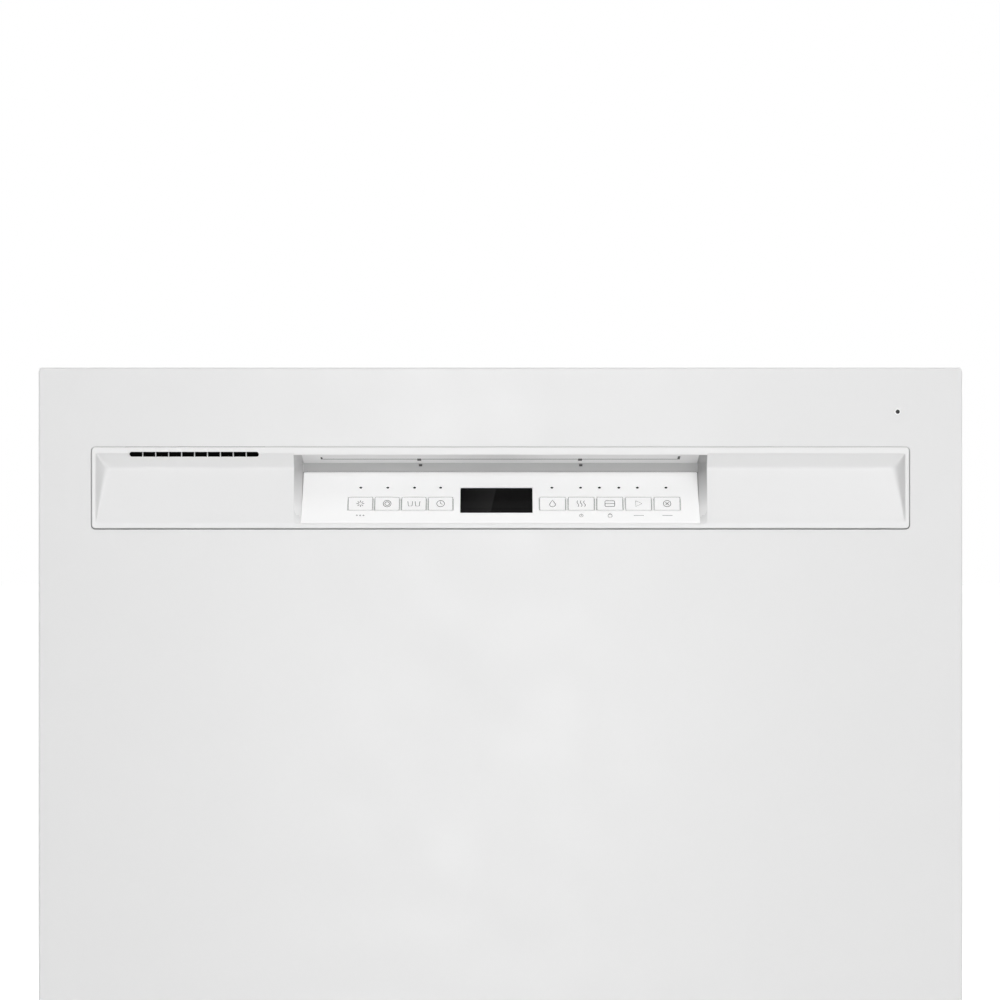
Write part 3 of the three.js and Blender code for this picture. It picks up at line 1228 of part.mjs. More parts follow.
const lowerRackZ = [LOWER_RACK_Z, LOWER_RACK_Z + LOWER_RACK_HEIGHT];
const basketX = [LOWER_RACK_HALF - BASKET_SIDE - BASKET_WIDTH, LOWER_RACK_HALF - BASKET_SIDE];
const basketY = [lowerRackY[0] + BASKET_FRONT, lowerRackY[0] + BASKET_FRONT + BASKET_LENGTH];
const basketZ = lowerRackZ[0] + 2.3 * WIRE + FIT;

function lowerRack() {
  const crossY = rackCrossY(lowerRackY);
  const tineX = [-LOWER_RACK_HALF + TINE_INSET, basketX[0] - TINE_INSET];
  const carriers = [-1, 1].flatMap((side) => [
    wire(
      [side * LOWER_RACK_HALF, lowerRackY[0], LOWER_RACK_Z],
      [side * LOWER_RACK_HALF, lowerRackY[1], LOWER_RACK_Z],
      RIM_WIRE,
    ),
    ...wheelY.map((y) => {
      const x = [LOWER_RACK_HALF - 3, wheelX[1] + 1];
      return rod("x", AXLE_RADIUS, side > 0 ? x : [-x[1], -x[0]], [y, wheelZ], 10);
    }),
    ...wheelY.map((y) => wire(
      [side * LOWER_RACK_HALF, y, wheelZ - AXLE_RADIUS + FIT],
      [side * LOWER_RACK_HALF, y, LOWER_RACK_Z + LOWER_RACK_HEIGHT / 2],
    )),
  ]);
  return join(
    wireBasket(LOWER_RACK_HALF, lowerRackY, lowerRackZ),
    tineRow(tineX, crossY[2], LOWER_RACK_Z + WIRE, LOWER_TINE, TINES),
    tineRow(tineX, crossY[4], LOWER_RACK_Z + WIRE, LOWER_TINE, TINES),
    carriers,
  );
}

function rackWheel(side, y) {
  const x = side > 0 ? wheelX : [-wheelX[1], -wheelX[0]];
  return cut(
    rod("x", WHEEL_RADIUS, x, [y, wheelZ], 20),
    rod("x", AXLE_RADIUS + FIT, grown(x, RUN), [y, wheelZ], 10),
  );
}

function upperRack() {
  const z = [UPPER_RACK_Z, UPPER_RACK_Z + UPPER_RACK_HEIGHT];
  const crossY = rackCrossY(upperRackY);
  const tineX = [-UPPER_RACK_HALF + UPPER_TINE_INSET, UPPER_RACK_HALF - UPPER_TINE_INSET];
  const rearRoller = upperRackY[1] - ROLLER_BACK;
  const rollerEnd = railX[1] - RAIL_WEB - RUN / 2;
  const mirror = (side, [inner, outer]) => (side > 0 ? [inner, outer] : [-outer, -inner]);
  const hangers = [-1, 1].flatMap((side) =>
    [rearRoller - ROLLER_PITCH, rearRoller].flatMap((y) => [
      box(
        mirror(side, [UPPER_RACK_HALF, UPPER_RACK_HALF + HANGER_SHEET]),
        grown([y, y], HANGER_WIDTH / 2),
        [(z[0] + z[1]) / 2, z[1]],
      ),
      rod(
        "x",
        ROLLER_RADIUS - RUN / 2,
        mirror(side, [UPPER_RACK_HALF + 1, rollerEnd]),
        [y, rollerZ],
        10,
      ),
      rod("x", ROLLER_RADIUS, mirror(side, [rollerEnd - ROLLER_WIDTH, rollerEnd]), [y, rollerZ], 12),
    ]));
  return join(
    wireBasket(UPPER_RACK_HALF, upperRackY, z),
    tineRow(tineX, crossY[1], z[0] + WIRE, UPPER_TINE, TINES + 2),
    tineRow(tineX, crossY[3], z[0] + WIRE, UPPER_TINE, TINES + 2),
    hangers,
  );
}

function rackRail(side) {
  const x = side > 0 ? railX : [-railX[1], -railX[0]];
  const y = [TUB_FRONT + RAIL_FRONT, TUB_BACK - RAIL_BACK];
  return cut(
    box(x, y, railZ),
    box(
      side > 0 ? [railX[0] - RUN, railX[1] - RAIL_WEB] : [-railX[1] + RAIL_WEB, -railX[0] + RUN],
      grown(y, -RAIL_STOP),
      grown(railZ, -CHANNEL_LIP),
    ),
  );
}

function silverwareBasket() {
  const z = [basketZ, basketZ + BASKET_HEIGHT];
  const wall = BASKET_WALL;
  const step = (BASKET_LENGTH - wall) / BASKET_CELLS;
  const middles = spread(BASKET_CELLS, basketY[0] + (step + wall) / 2, basketY[1] - (step + wall) / 2);
  const wells = middles.map((y) =>
    box(grown(basketX, -wall), grown([y, y], (step - wall) / 2), [z[0] + wall, z[1] + RUN]));
  const windows = middles.flatMap((y) =>
    BASKET_WINDOW_RISES.map((rise) =>
      box(
        grown(basketX, RUN),
        grown([y, y], (step - wall) / 2 - BASKET_POST),
        [z[0] + rise, z[0] + rise + BASKET_WINDOW_HEIGHT],
      )));
  const middleY = (basketY[0] + basketY[1]) / 2;
  const grip = grown([middleY, middleY], BASKET_GRIP / 2);
  const middleX = (basketX[0] + basketX[1]) / 2;
  const handle = cut(
    box(grown([middleX, middleX], 4), grown(grip, 8), [z[1] - 20, z[1] + 34]),
    box(grown([middleX, middleX], 5), grip, [z[1] + 4, z[1] + 24]),
  );
  return join(cut(box(basketX, basketY, z), wells, windows), handle);
}

// ---------------------------------------------------------------- putting it together

const sides = [["left", -1], ["right", 1]];

add(door, "door_outer_panel", doorOuterPanel(), FINISH.paint);
add(door, "door_inner_panel", doorInnerPanel(), FINISH.stainless);
add(door, "console_housing", consoleHousing(), FINISH.moulding);
add(controls, "control_faceplate", controlFaceplate(), FINISH.faceplate);
keys.forEach((key, i) => add(controls, `key_${i + 1}`, keyCap(key), FINISH.faceplate));
add(controls, "display_window", displayWindow(), FINISH.glass);
add(controls, "control_board", controlBoard(), FINISH.board);
add(
  door,
  "status_light",
  rod("y", LIGHT_RADIUS, [FACE_Y - 0.2, FACE_Y + PANEL_SHEET + 4], [LIGHT_X, LIGHT_Z], 12),
  FINISH.glass,
);
add(door, "door_insulation", doorInsulation(), FINISH.felt);
add(door, "door_latch", doorLatch(), FINISH.darkPlastic);
add(door, "latch_bolt", latchBolt(), FINISH.greyPlastic);
add(door, "dispenser_body", dispenserBody(), FINISH.greyPlastic);
add(door, "dispenser_lid", dispenserLid(), FINISH.greyPlastic);
add(door, "rinse_aid_cap", rinseAidCap(), FINISH.darkPlastic);
add(door, "door_vent", doorVent(), FINISH.greyPlastic);
add(door, "lower_door_seal", lowerDoorSeal(), FINISH.rubber);
sides.forEach(([name, side]) => add(door, `hinge_arm_${name}`, hingeArm(side), FINISH.zinc));

add(cabinet, "tub", tub(), FINISH.stainless);
add(cabinet, "tub_gasket", tubGasket(), FINISH.rubber);
add(cabinet, "insulation_wrap", insulationWrap(), FINISH.felt);
add(cabinet, "base_frame", baseFrame(), FINISH.greyPlastic);
add(cabinet, "toe_kick_panel", toeKick(), FINISH.blackPaint);
add(cabinet, "door_strike", doorStrike(), FINISH.zinc);
add(cabinet, "sump", sump(), FINISH.greyPlastic);
add(cabinet, "filter_cylinder", filterCylinder(), FINISH.greyPlastic);
add(cabinet, "wash_pump_motor", washPumpMotor(), FINISH.darkPlastic);
add(cabinet, "drain_pump", drainPump(), FINISH.darkPlastic);
add(cabinet, "heating_element", heatingElement(), FINISH.stainless);
add(cabinet, "inlet_valve", inletValve(), FINISH.darkPlastic);
add(cabinet, "rear_feed_tube", rearFeedTube(), FINISH.greyPlastic);
add(cabinet, "overfill_float", overfillFloat(), FINISH.greyPlastic);
sides.forEach(([name, side]) => {
  add(cabinet, `door_spring_${name}`, doorSpring(side), FINISH.springSteel);
  add(cabinet, `counter_bracket_${name}`, counterBracket(side), FINISH.zinc);
  add(cabinet, `foot_front_${name}`, levellingFoot(side * FOOT_X, feetY[0]), FINISH.greyPlastic);
  add(cabinet, `foot_rear_${name}`, levellingFoot(side * FOOT_X, feetY[1]), FINISH.greyPlastic);
});

add(interior, "lower_spray_arm", lowerSprayArm(), FINISH.greyPlastic);
add(interior, "lower_rack", lowerRack(), FINISH.nylon);
add(interior, "silverware_basket", silverwareBasket(), FINISH.greyPlastic);
add(interior, "upper_rack", upperRack(), FINISH.nylon);
add(interior, "spray_manifold", sprayManifold(), FINISH.greyPlastic);
add(interior, "upper_spray_arm", upperSprayArm(), FINISH.greyPlastic);
sides.forEach(([name, side]) => {
  add(interior, `rack_rail_${name}`, rackRail(side), FINISH.stainless);
  add(interior, `wheel_front_${name}`, rackWheel(side, wheelY[0]), FINISH.greyPlastic);
  add(interior, `wheel_rear_${name}`, rackWheel(side, wheelY[1]), FINISH.greyPlastic);
});

export default dishwasher;
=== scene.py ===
from math import atan2, cos, pi, radians, sin

import bmesh
import bpy
import numpy as np
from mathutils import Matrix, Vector


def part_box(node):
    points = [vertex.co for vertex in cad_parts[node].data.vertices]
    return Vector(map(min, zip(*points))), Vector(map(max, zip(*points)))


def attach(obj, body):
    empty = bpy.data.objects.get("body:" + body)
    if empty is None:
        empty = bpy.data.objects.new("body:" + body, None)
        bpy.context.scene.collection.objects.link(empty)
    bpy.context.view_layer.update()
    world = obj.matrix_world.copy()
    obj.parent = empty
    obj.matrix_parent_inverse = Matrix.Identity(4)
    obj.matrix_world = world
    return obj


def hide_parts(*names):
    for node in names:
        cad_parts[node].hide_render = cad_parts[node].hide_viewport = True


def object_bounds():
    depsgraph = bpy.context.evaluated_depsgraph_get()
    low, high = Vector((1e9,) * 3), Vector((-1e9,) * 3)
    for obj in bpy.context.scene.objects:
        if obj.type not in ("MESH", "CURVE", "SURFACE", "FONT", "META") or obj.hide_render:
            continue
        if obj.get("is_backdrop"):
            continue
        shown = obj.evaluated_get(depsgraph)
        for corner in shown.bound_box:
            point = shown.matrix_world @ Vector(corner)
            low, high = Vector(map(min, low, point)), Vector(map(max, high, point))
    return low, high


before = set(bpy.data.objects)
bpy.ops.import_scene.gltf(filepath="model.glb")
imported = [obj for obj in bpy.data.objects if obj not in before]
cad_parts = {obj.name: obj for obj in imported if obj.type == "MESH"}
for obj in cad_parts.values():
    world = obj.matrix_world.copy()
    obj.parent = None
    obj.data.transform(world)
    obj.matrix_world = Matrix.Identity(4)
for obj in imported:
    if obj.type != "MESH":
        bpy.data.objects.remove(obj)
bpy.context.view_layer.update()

# A built-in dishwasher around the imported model. Shapes are worked out in millimetres, in the
# model's own frame (x to the right, y to the back, z up), and become pieces in metres.

scene = bpy.context.scene
scene.view_settings.view_transform = "Standard"
SIDES = (("left", -1), ("right", 1))


def new_object(name, data):
    o = bpy.data.objects.new(name, data)
    scene.collection.objects.link(o)
    return o


def box_of(node):
    """A node's lowest and highest corners at rest."""
    return [[round(1000 * c, 3) for c in corner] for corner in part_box(node)]


def centre_of(node):
    return [(a + b) / 2 for a, b in zip(*box_of(node))]


(_, DOOR_Y, PANEL_LOW), (PANEL_HALF, _, PANEL_HIGH) = box_of("door_outer_panel")
(_, RIM_Y, RIM_LOW), (RIM_HALF, _, RIM_HIGH) = box_of("console_housing")
LINER_Y = box_of("door_inner_panel")[1][1]
LIGHT_X, _, LIGHT_Z = centre_of("status_light")
_, AXIS_Y, _ = centre_of("sump")
RAIL_Z = centre_of("rack_rail_left")[2]


# ------------ camera, light and stage

VIEW_WIDTH, VIEW_X, VIEW_Z = 0.6558, -0.0003, 0.7831   # metres at the door's face
DISTANCE, SENSOR = 2.3, 36

camera_data = bpy.data.cameras.new("camera")
camera_data.sensor_width = SENSOR
camera_data.lens = SENSOR * DISTANCE / VIEW_WIDTH
camera_data.clip_start, camera_data.clip_end = 0.05, 50
scene.camera = new_object("camera", camera_data)
scene.camera.location = (VIEW_X, DOOR_Y / 1000 - DISTANCE, VIEW_Z)
scene.camera.rotation_euler = (radians(90), 0, 0)


def fill(node, **inputs):
    """Sets a node's inputs: each is a value, or another node's output to link."""
    for name, value in inputs.items():
        socket = node.inputs[name.replace("_", " ")]
        if isinstance(value, bpy.types.NodeSocket):
            node.id_data.links.new(value, socket)
        else:
            socket.default_value = value


def add_node(tree, kind, output=0, **inputs):
    node = tree.nodes.new("ShaderNode" + kind)
    fill(node, **inputs)
    return node.outputs[output]


def maths(tree, operation, *values):
    node = tree.nodes.new("ShaderNodeMath")
    node.operation = operation
    for socket, value in zip(node.inputs, values):
        if isinstance(value, float):
            socket.default_value = value
        else:
            tree.links.new(value, socket)
    return node.outputs[0]


def white_for_camera(tree, level, plain):
    """The level for what is seen directly, mirrored or through glass, and the plain level for light."""
    rays = tree.nodes.new("ShaderNodeLightPath").outputs
    seen = maths(tree, "MAXIMUM", rays["Is Camera Ray"], rays["Is Glossy Ray"])
    seen = maths(tree, "MAXIMUM", seen, rays["Is Transmission Ray"])
    return add_node(tree, "MapRange", Value=seen, To_Min=plain, To_Max=level)


scene.world = bpy.data.worlds.new("world")
scene.world.use_nodes = True
sky = scene.world.node_tree
fill(sky.nodes["Background"], Color=(1, 1, 1, 1), Strength=white_for_camera(sky, 1.0, 0.31))


def area_light(name, place, target, size, power):
    data = bpy.data.lights.new(name, "AREA")
    data.shape = "RECTANGLE"
    data.size, data.size_y = size
    data.energy = power
    lamp = new_object(name, data)
    lamp.location = place
    aim = Vector(target) - Vector(place)
    lamp.rotation_euler = aim.to_track_quat("-Z", "Y").to_euler()
    lamp.visible_camera = False


area_light("key_front_right", (2.3, -4.2, 2.4), (0, -0.3, 0.7), (1.8, 1.8), 52)
area_light("fill_front_left", (-1.7, -4.2, 1.5), (0, -0.3, 0.5), (1.8, 1.2), 3.8)
area_light("side_left", (-3.4, -1.5, 1.3), (-0.3, -0.3, 0.6), (1.4, 1.4), 9)
area_light("top", (0.2, -0.6, 3.0), (0, -0.1, 0.5), (2.2, 2.2), 10)
area_light("strip_front", (-0.02, -3.2, 0.78), (-0.02, -0.3, 0.78), (0.28, 1.7), 17.5)
area_light("back_left", (-1.8, 2.4, 2.0), (0, 0, 0.4), (1.6, 1.6), 20)
area_light("back_right", (2.0, 2.2, 1.6), (0, 0, 0.4), (1.6, 1.6), 16)


# ------------ material kit

def tone(shade):
    """A grey or (red, green, blue) of screen values from 0 to 255, as linear light."""
    v = np.array(shade) / 255 * np.ones(3)
    return (*np.where(v <= 0.04045, v / 12.92, ((v + 0.055) / 1.055) ** 2.4).tolist(), 1)


class Finish:
    """A procedural material: a Principled shader, with helpers that add nodes to it.

    color is (noise scale, detail, other shade, low, high), gloss is (noise scale, detail, lowest
    roughness, highest), and each relief is (noise scale, detail, depth in metres, strength).
    """

    def __init__(self, name, shade, rough, metallic=0.0, color=None, gloss=None, relief=(), **sockets):
        self.material = bpy.data.materials.new(name)
        self.material.use_nodes = True
        self.tree = self.material.node_tree
        self.bsdf = self.tree.nodes["Principled BSDF"]
        self.shade, self.relief = shade, {}
        fill(self.bsdf, Base_Color=tone(shade), Roughness=rough, Metallic=metallic, **sockets)
        if color:
            self.vary_color(self.noise(*color[:2]), *color[2:])
        if gloss:
            self.vary_rough(self.noise(*gloss[:2]), *gloss[2:])
        for scale, detail, depth, strength in relief:
            self.bump(self.noise(scale, detail), depth, strength)

    def node(self, kind, output=0, **inputs):
        return add_node(self.tree, kind, output, **inputs)

    def math(self, operation, *values):
        return maths(self.tree, operation, *values)

    def texture(self, kind, output, stretch=(1, 1, 1), **inputs):
        """A texture in the object's own coordinates."""
        place = self.node("Mapping", Vector=self.node("TexCoord", "Object"), Scale=stretch)
        return self.node("Tex" + kind, output, Vector=place, **inputs)

    def noise(self, scale, detail, stretch=(1, 1, 1), rough=0.5):
        return self.texture("Noise", "Fac", stretch, Scale=scale, Detail=detail, Roughness=rough)

    def diagonals(self, scale):
        waves = self.texture("Wave", "Fac", Scale=scale)
        waves.node.bands_direction = "DIAGONAL"
        return waves

    def axis(self, name, source="Object"):
        """One coordinate of a point's place, or of its Normal."""
        return self.node("SeparateXYZ", name, Vector=self.node("TexCoord", source))

    def range(self, value, low, high, from_low=0.0, from_high=1.0):
        return self.node("MapRange", Value=value, From_Min=from_low, From_Max=from_high,
                         To_Min=low, To_Max=high)

    def ramp(self, value, *stops):
        """Takes the base colour from (place, shade) stops."""
        colors = self.node("ValToRGB", Fac=value)
        marks = colors.node.color_ramp.elements
        for k in (0, -1):
            marks[k].position, marks[k].color = stops[k][0], tone(stops[k][1])
        for at, shade in stops[1:-1]:
            marks.new(at).color = tone(shade)
        fill(self.bsdf, Base_Color=colors)

    def vary_color(self, value, other, low, high):
        """Goes from the finish's shade to another as a value rises from low to high."""
        self.ramp(value, (low, self.shade), (high, other))

    def vary_rough(self, value, low, high):
        fill(self.bsdf, Roughness=self.range(value, low, high, 0.3, 0.7))

    def bump(self, value, depth, strength):
        node = self.node("Bump", Height=value, Distance=depth, Strength=strength, **self.relief)
        self.relief = {"Normal": node}
        fill(self.bsdf, Normal=node)


def moulded(name, shade, rough, grain, depth, change, **sockets):
    """Plastic with a fine moulded grain, and a shade that changes a little."""
    darker = np.maximum(np.array(shade) - change, 0)
    return Finish(name, shade, rough, color=(18, 1, darker, 0.25, 0.75),
                  gloss=(160, 3, rough - 0.05, rough + 0.07), relief=[(grain, 2, depth, 0.8)], **sockets)


def brushed(name, shade, along, rough):
    """Stainless sheet with fine lines along an axis."""
    f = Finish(name, shade, rough, 1.0)
    stretch = tuple(0.015 if a == along else 1 for a in "xyz")
    lines = f.noise(2600, 3, stretch, 0.6)
    f.vary_color(lines, np.array(shade) - 16, 0.3, 0.75)
    f.vary_rough(f.noise(1400, 3, stretch), rough - 0.07, rough + 0.10)
    f.bump(lines, 0.00001, 0.5)
    f.bump(f.noise(4, 1), 0.0004, 0.08)
    return f


SHADE_Z = (0.778, 0.803)   # metres, from where the end walls' painted shade starts to where it is full


def wall_shade(name, dark):
    """The moulding at an end of the pocket, with painted shade that darkens it towards its top."""
    f = Finish(name, 242, 0.45, gloss=(160, 3, 0.40, 0.52), relief=[(6500, 2, 0.000008, 0.8)])
    f.vary_color(f.range(f.axis("Z"), 0, 1, *SHADE_Z), dark, 0.0, 1.0)
    return f


PAINT = Finish("white_enamel", 236, 0.32, color=(5, 0, 235.2, 0.2, 0.8), gloss=(30, 3, 0.29, 0.37),
               relief=[(9, 0, 0.0004, 0.10), (760, 2, 0.00001, 0.3)])
HOUSING = Finish("white_abs", 242, 0.40, gloss=(160, 3, 0.35, 0.47), relief=[(6500, 2, 0.000008, 0.8)])
# Painted shade: faces that turn sideways, such as the scoops' end walls, take a darker colour; a faint random
# unevenness is added.
sideways_shade = HOUSING.math("ABSOLUTE", HOUSING.axis("X", "Normal"))
uneven = HOUSING.range(HOUSING.noise(18, 1), -0.01, 0.01)
HOUSING.vary_color(HOUSING.math("ADD", sideways_shade, uneven), 219, 0.15, 0.85)
# A darker copy of the moulding with painted shade, for the pocket's back wall.
POCKET_BACK_SHADE = moulded("white_abs_pocket_back_shade", 176, 0.50, 6500, 0.000008, 1)
# A slightly darker copy of the moulding with painted shade, for the pocket's ceiling.
CEILING_SHADE = moulded("white_abs_ceiling_shade", 233, 0.45, 6500, 0.000008, 1)
# The pocket's end walls carry painted shade, the right one darker than the left.
WALL_LEFT_SHADE = wall_shade("white_abs_wall_left_shade", 192)
WALL_RIGHT_SHADE = wall_shade("white_abs_wall_right_shade", 166)
# Painted light: the faceplate, the keys and the status light's bezel glow faintly, which keeps them bright
# under the pocket's ceiling.
PAINTED_GLOW = {"Specular_IOR_Level": 0.6, "Emission_Color": (1, 1, 1, 1), "Emission_Strength": 0.085}
PLATE = moulded("white_faceplate", 253, 0.34, 9000, 0.000001, 1, **PAINTED_GLOW)
KEYCAP = moulded("white_key", 252, 0.36, 9000, 0.000001, 1, **PAINTED_GLOW)
INK = moulded("grey_ink", 118, 0.5, 9000, 0.000002, 6)
# Painted shadow: a dark grey for the strips in the pocket's seam.
SEAM_SHADOW = moulded("seam_shadow", 84, 0.8, 5000, 0.000004, 8)
# Near black: a duct's plastic, darkened as painted shade for the inside of the vent.
VENT_SHADE = moulded("vent_black", 9, 0.9, 4000, 0.00001, 4, Specular_IOR_Level=0.1)
GREY = moulded("grey_polypropylene", (150, 154, 157), 0.5, 3800, 0.00002, 7)
PALE = moulded("pale_polypropylene", (203, 205, 206), 0.45, 4200, 0.000015, 5)
DARK = moulded("dark_plastic", (48, 49, 52), 0.52, 3600, 0.00002, 8)
BASE = moulded("base_polypropylene", (128, 131, 134), 0.6, 2600, 0.00003, 9)

# Painted reflection: the display's colour holds a faint slanted sheen that ends sharply to the right.
SHEEN_TILT, SHEEN_X = -0.235, (-0.2100, -0.1882)   # metres at height 0
DISPLAY = Finish("display_glass", 21, 0.07, gloss=(90, 3, 0.05, 0.10), relief=[(34, 1, 0.00008, 0.10)],
                 Specular_IOR_Level=0.03)
slant = DISPLAY.math("ADD", DISPLAY.axis("X"), DISPLAY.math("MULTIPLY", DISPLAY.axis("Z"), SHEEN_TILT))
DISPLAY.ramp(DISPLAY.range(slant, 0, 1, *SHEEN_X), (0.0, 21), (0.96, 36), (1.0, 21))
LENS = Finish("status_lens", 26, 0.14, color=(2500, 2, 34, 0.3, 0.7), Specular_IOR_Level=0.3)
BOARD = Finish("circuit_board", (30, 92, 56), 0.4)
BOARD.vary_color(BOARD.texture("Voronoi", "Distance", Scale=900), (44, 120, 76), 0.2, 0.5)

STEEL = brushed("stainless_brushed", (186, 187, 189), "y", 0.32)
STEEL_DOOR = brushed("stainless_liner", (184, 185, 187), "x", 0.34)
ZINC = Finish("zinc_plate", (176, 178, 180), 0.42, 0.9, gloss=(500, 4, 0.34, 0.55),
              relief=[(1200, 3, 0.00002, 0.4)])
ZINC.vary_color(ZINC.texture("Voronoi", "Color", Scale=260), (152, 155, 158), 0.1, 0.9)
SPRING = Finish("spring_wire", (142, 144, 148), 0.30, 1.0, (220, 3, (118, 118, 120), 0.35, 0.7),
                (900, 3, 0.24, 0.42))
FOIL = Finish("foil_tape", (188, 190, 193), 0.34, 1.0, gloss=(120, 3, 0.26, 0.46),
              relief=[(300, 4, 0.0002, 0.35)])
HEATER = Finish("heater_sheath", (120, 112, 106), 0.42, 1.0, (90, 5, (92, 82, 88), 0.35, 0.7),
                (500, 4, 0.34, 0.58))
KICK = Finish("black_paint", (34, 35, 38), 0.42, 0.0, (30, 3, (42, 43, 46), 0.35, 0.7),
              (220, 4, 0.36, 0.52), [(1500, 2, 0.00002, 0.5)])
RUBBER = Finish("epdm_rubber", (58, 59, 62), 0.72, color=(300, 5, (72, 73, 75), 0.4, 0.75),
                relief=[(2400, 3, 0.00003, 0.6)])
NYLON = Finish("nylon_coat", (196, 201, 206), 0.38, 0.0, (120, 4, (184, 190, 196), 0.35, 0.7),
               (300, 3, 0.32, 0.48), [(800, 2, 0.00005, 0.4)])

FELT = Finish("felt", (70, 67, 63), 0.95, Sheen_Weight=0.3, Sheen_Roughness=0.6)
clouds = FELT.range(FELT.noise(46, 3), -0.12, 0.12)
FELT.vary_color(FELT.math("ADD", FELT.noise(420, 5, rough=0.8), clouds), (158, 152, 142), 0.46, 0.70)
FELT.bump(FELT.noise(260, 6, rough=0.8), 0.0025, 0.9)
FELT.bump(FELT.noise(14, 3), 0.010, 0.35)
THREAD = Finish("stitching", (44, 42, 40), 0.8, color=(700, 3, (76, 72, 68), 0.35, 0.65))
THREAD.bump(THREAD.diagonals(900), 0.0002, 0.6)
MASTIC = Finish("bitumen_pad", (40, 40, 42), 0.72, 0.0, (60, 4, (58, 58, 60), 0.35, 0.7),
                (150, 3, 0.6, 0.85))
MASTIC.bump(MASTIC.diagonals(60), 0.0006, 0.5)
MASTIC.bump(MASTIC.noise(90, 4), 0.0012, 0.4)


# ------------ mesh kit

SMOOTH_ANGLE, BEVEL_ANGLE = 38, 32   # degrees


def modify(o, name, kind, **settings):
    modifier = o.modifiers.new(name, kind)
    for key, value in settings.items():
        setattr(modifier, key, value)


def weigh(o):
    """Keeps flat faces flat beside rounded edges."""
    modify(o, "normals", "WEIGHTED_NORMAL", mode="FACE_AREA", weight=80, keep_sharp=True)


def place_piece(data, name, body, slot, finishes, replaces=(), angle=SMOOTH_ANGLE):
    for finish in finishes if isinstance(finishes, list) else [finishes]:
        data.materials.append(finish.material)
    data.polygons.foreach_set("use_smooth", [True] * len(data.polygons))
    data.set_sharp_from_angle(angle=radians(angle))
    o = new_object(name, data)
    weigh(o)
    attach(o, body)
    if replaces:
        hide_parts(*replaces)
    return o


def carved(name, data, *cutters):
    """A mesh with solids cut out of it."""
    raw = new_object(name + "_raw", data)
    tools = [new_object(name + "_tool", cutter.mesh(name + "_tool")) for cutter in cutters]
    for tool in tools:
        modify(raw, "cut", "BOOLEAN", operation="DIFFERENCE", solver="EXACT", object=tool)
    bpy.context.view_layer.update()
    result = bpy.data.meshes.new_from_object(raw.evaluated_get(bpy.context.evaluated_depsgraph_get()))
    for o in (raw, *tools):
        bpy.data.objects.remove(o)
    result.name = name
    return result


def spread(count, low, high):
    return [low + (high - low) * k / (count - 1) for k in range(count)]


def about(middle, reach):
    return middle - reach, middle + reach


def sided(side, near, far):
    """A span of x on one side of the middle."""
    return sorted((side * near, side * far))


def angles(count):
    """Equal turns round a circle."""
    return [2 * pi * k / count for k in range(count)]


def arc(centre, radius, start, end, steps):
    return [(centre[0] + radius * cos(a), centre[1] + radius * sin(a))
            for a in map(radians, spread(steps + 1, start, end))]


def rounded(x, z, radius, steps=6):
    """The outline of a rectangle with round corners."""
    corners = ((x[1] - radius, z[1] - radius), (x[0] + radius, z[1] - radius),
               (x[0] + radius, z[0] + radius), (x[1] - radius, z[0] + radius))
    return [p for k, corner in enumerate(corners) for p in arc(corner, radius, 90 * k, 90 * k + 90, steps)]


def bend(points, radius, steps=5):
    """Rounds the corners of a path."""
    out = [np.array(points[0], float)]
    for before, corner, after in zip(points, points[1:], points[2:]):
        a, b, c = (np.array(p, float) for p in (before, corner, after))
        u, v = (a - b), (c - b)
        reach = min(radius, np.linalg.norm(u) * 0.49, np.linalg.norm(v) * 0.49)
        p, q = b + u / np.linalg.norm(u) * reach, b + v / np.linalg.norm(v) * reach
        for t in spread(steps + 1, 0, 1):
            out.append((1 - t) ** 2 * p + 2 * t * (1 - t) * b + t ** 2 * q)
    out.append(np.array(points[-1], float))
    return out


def directions(points, closed):
    """The unit direction of a path at each of its points."""
    count = len(points)
    for i in range(count):
        before = points[i - 1] if i or closed else points[0]
        after = points[(i + 1) % count] if i < count - 1 or closed else points[-1]
        yield (after - before) / np.linalg.norm(after - before)


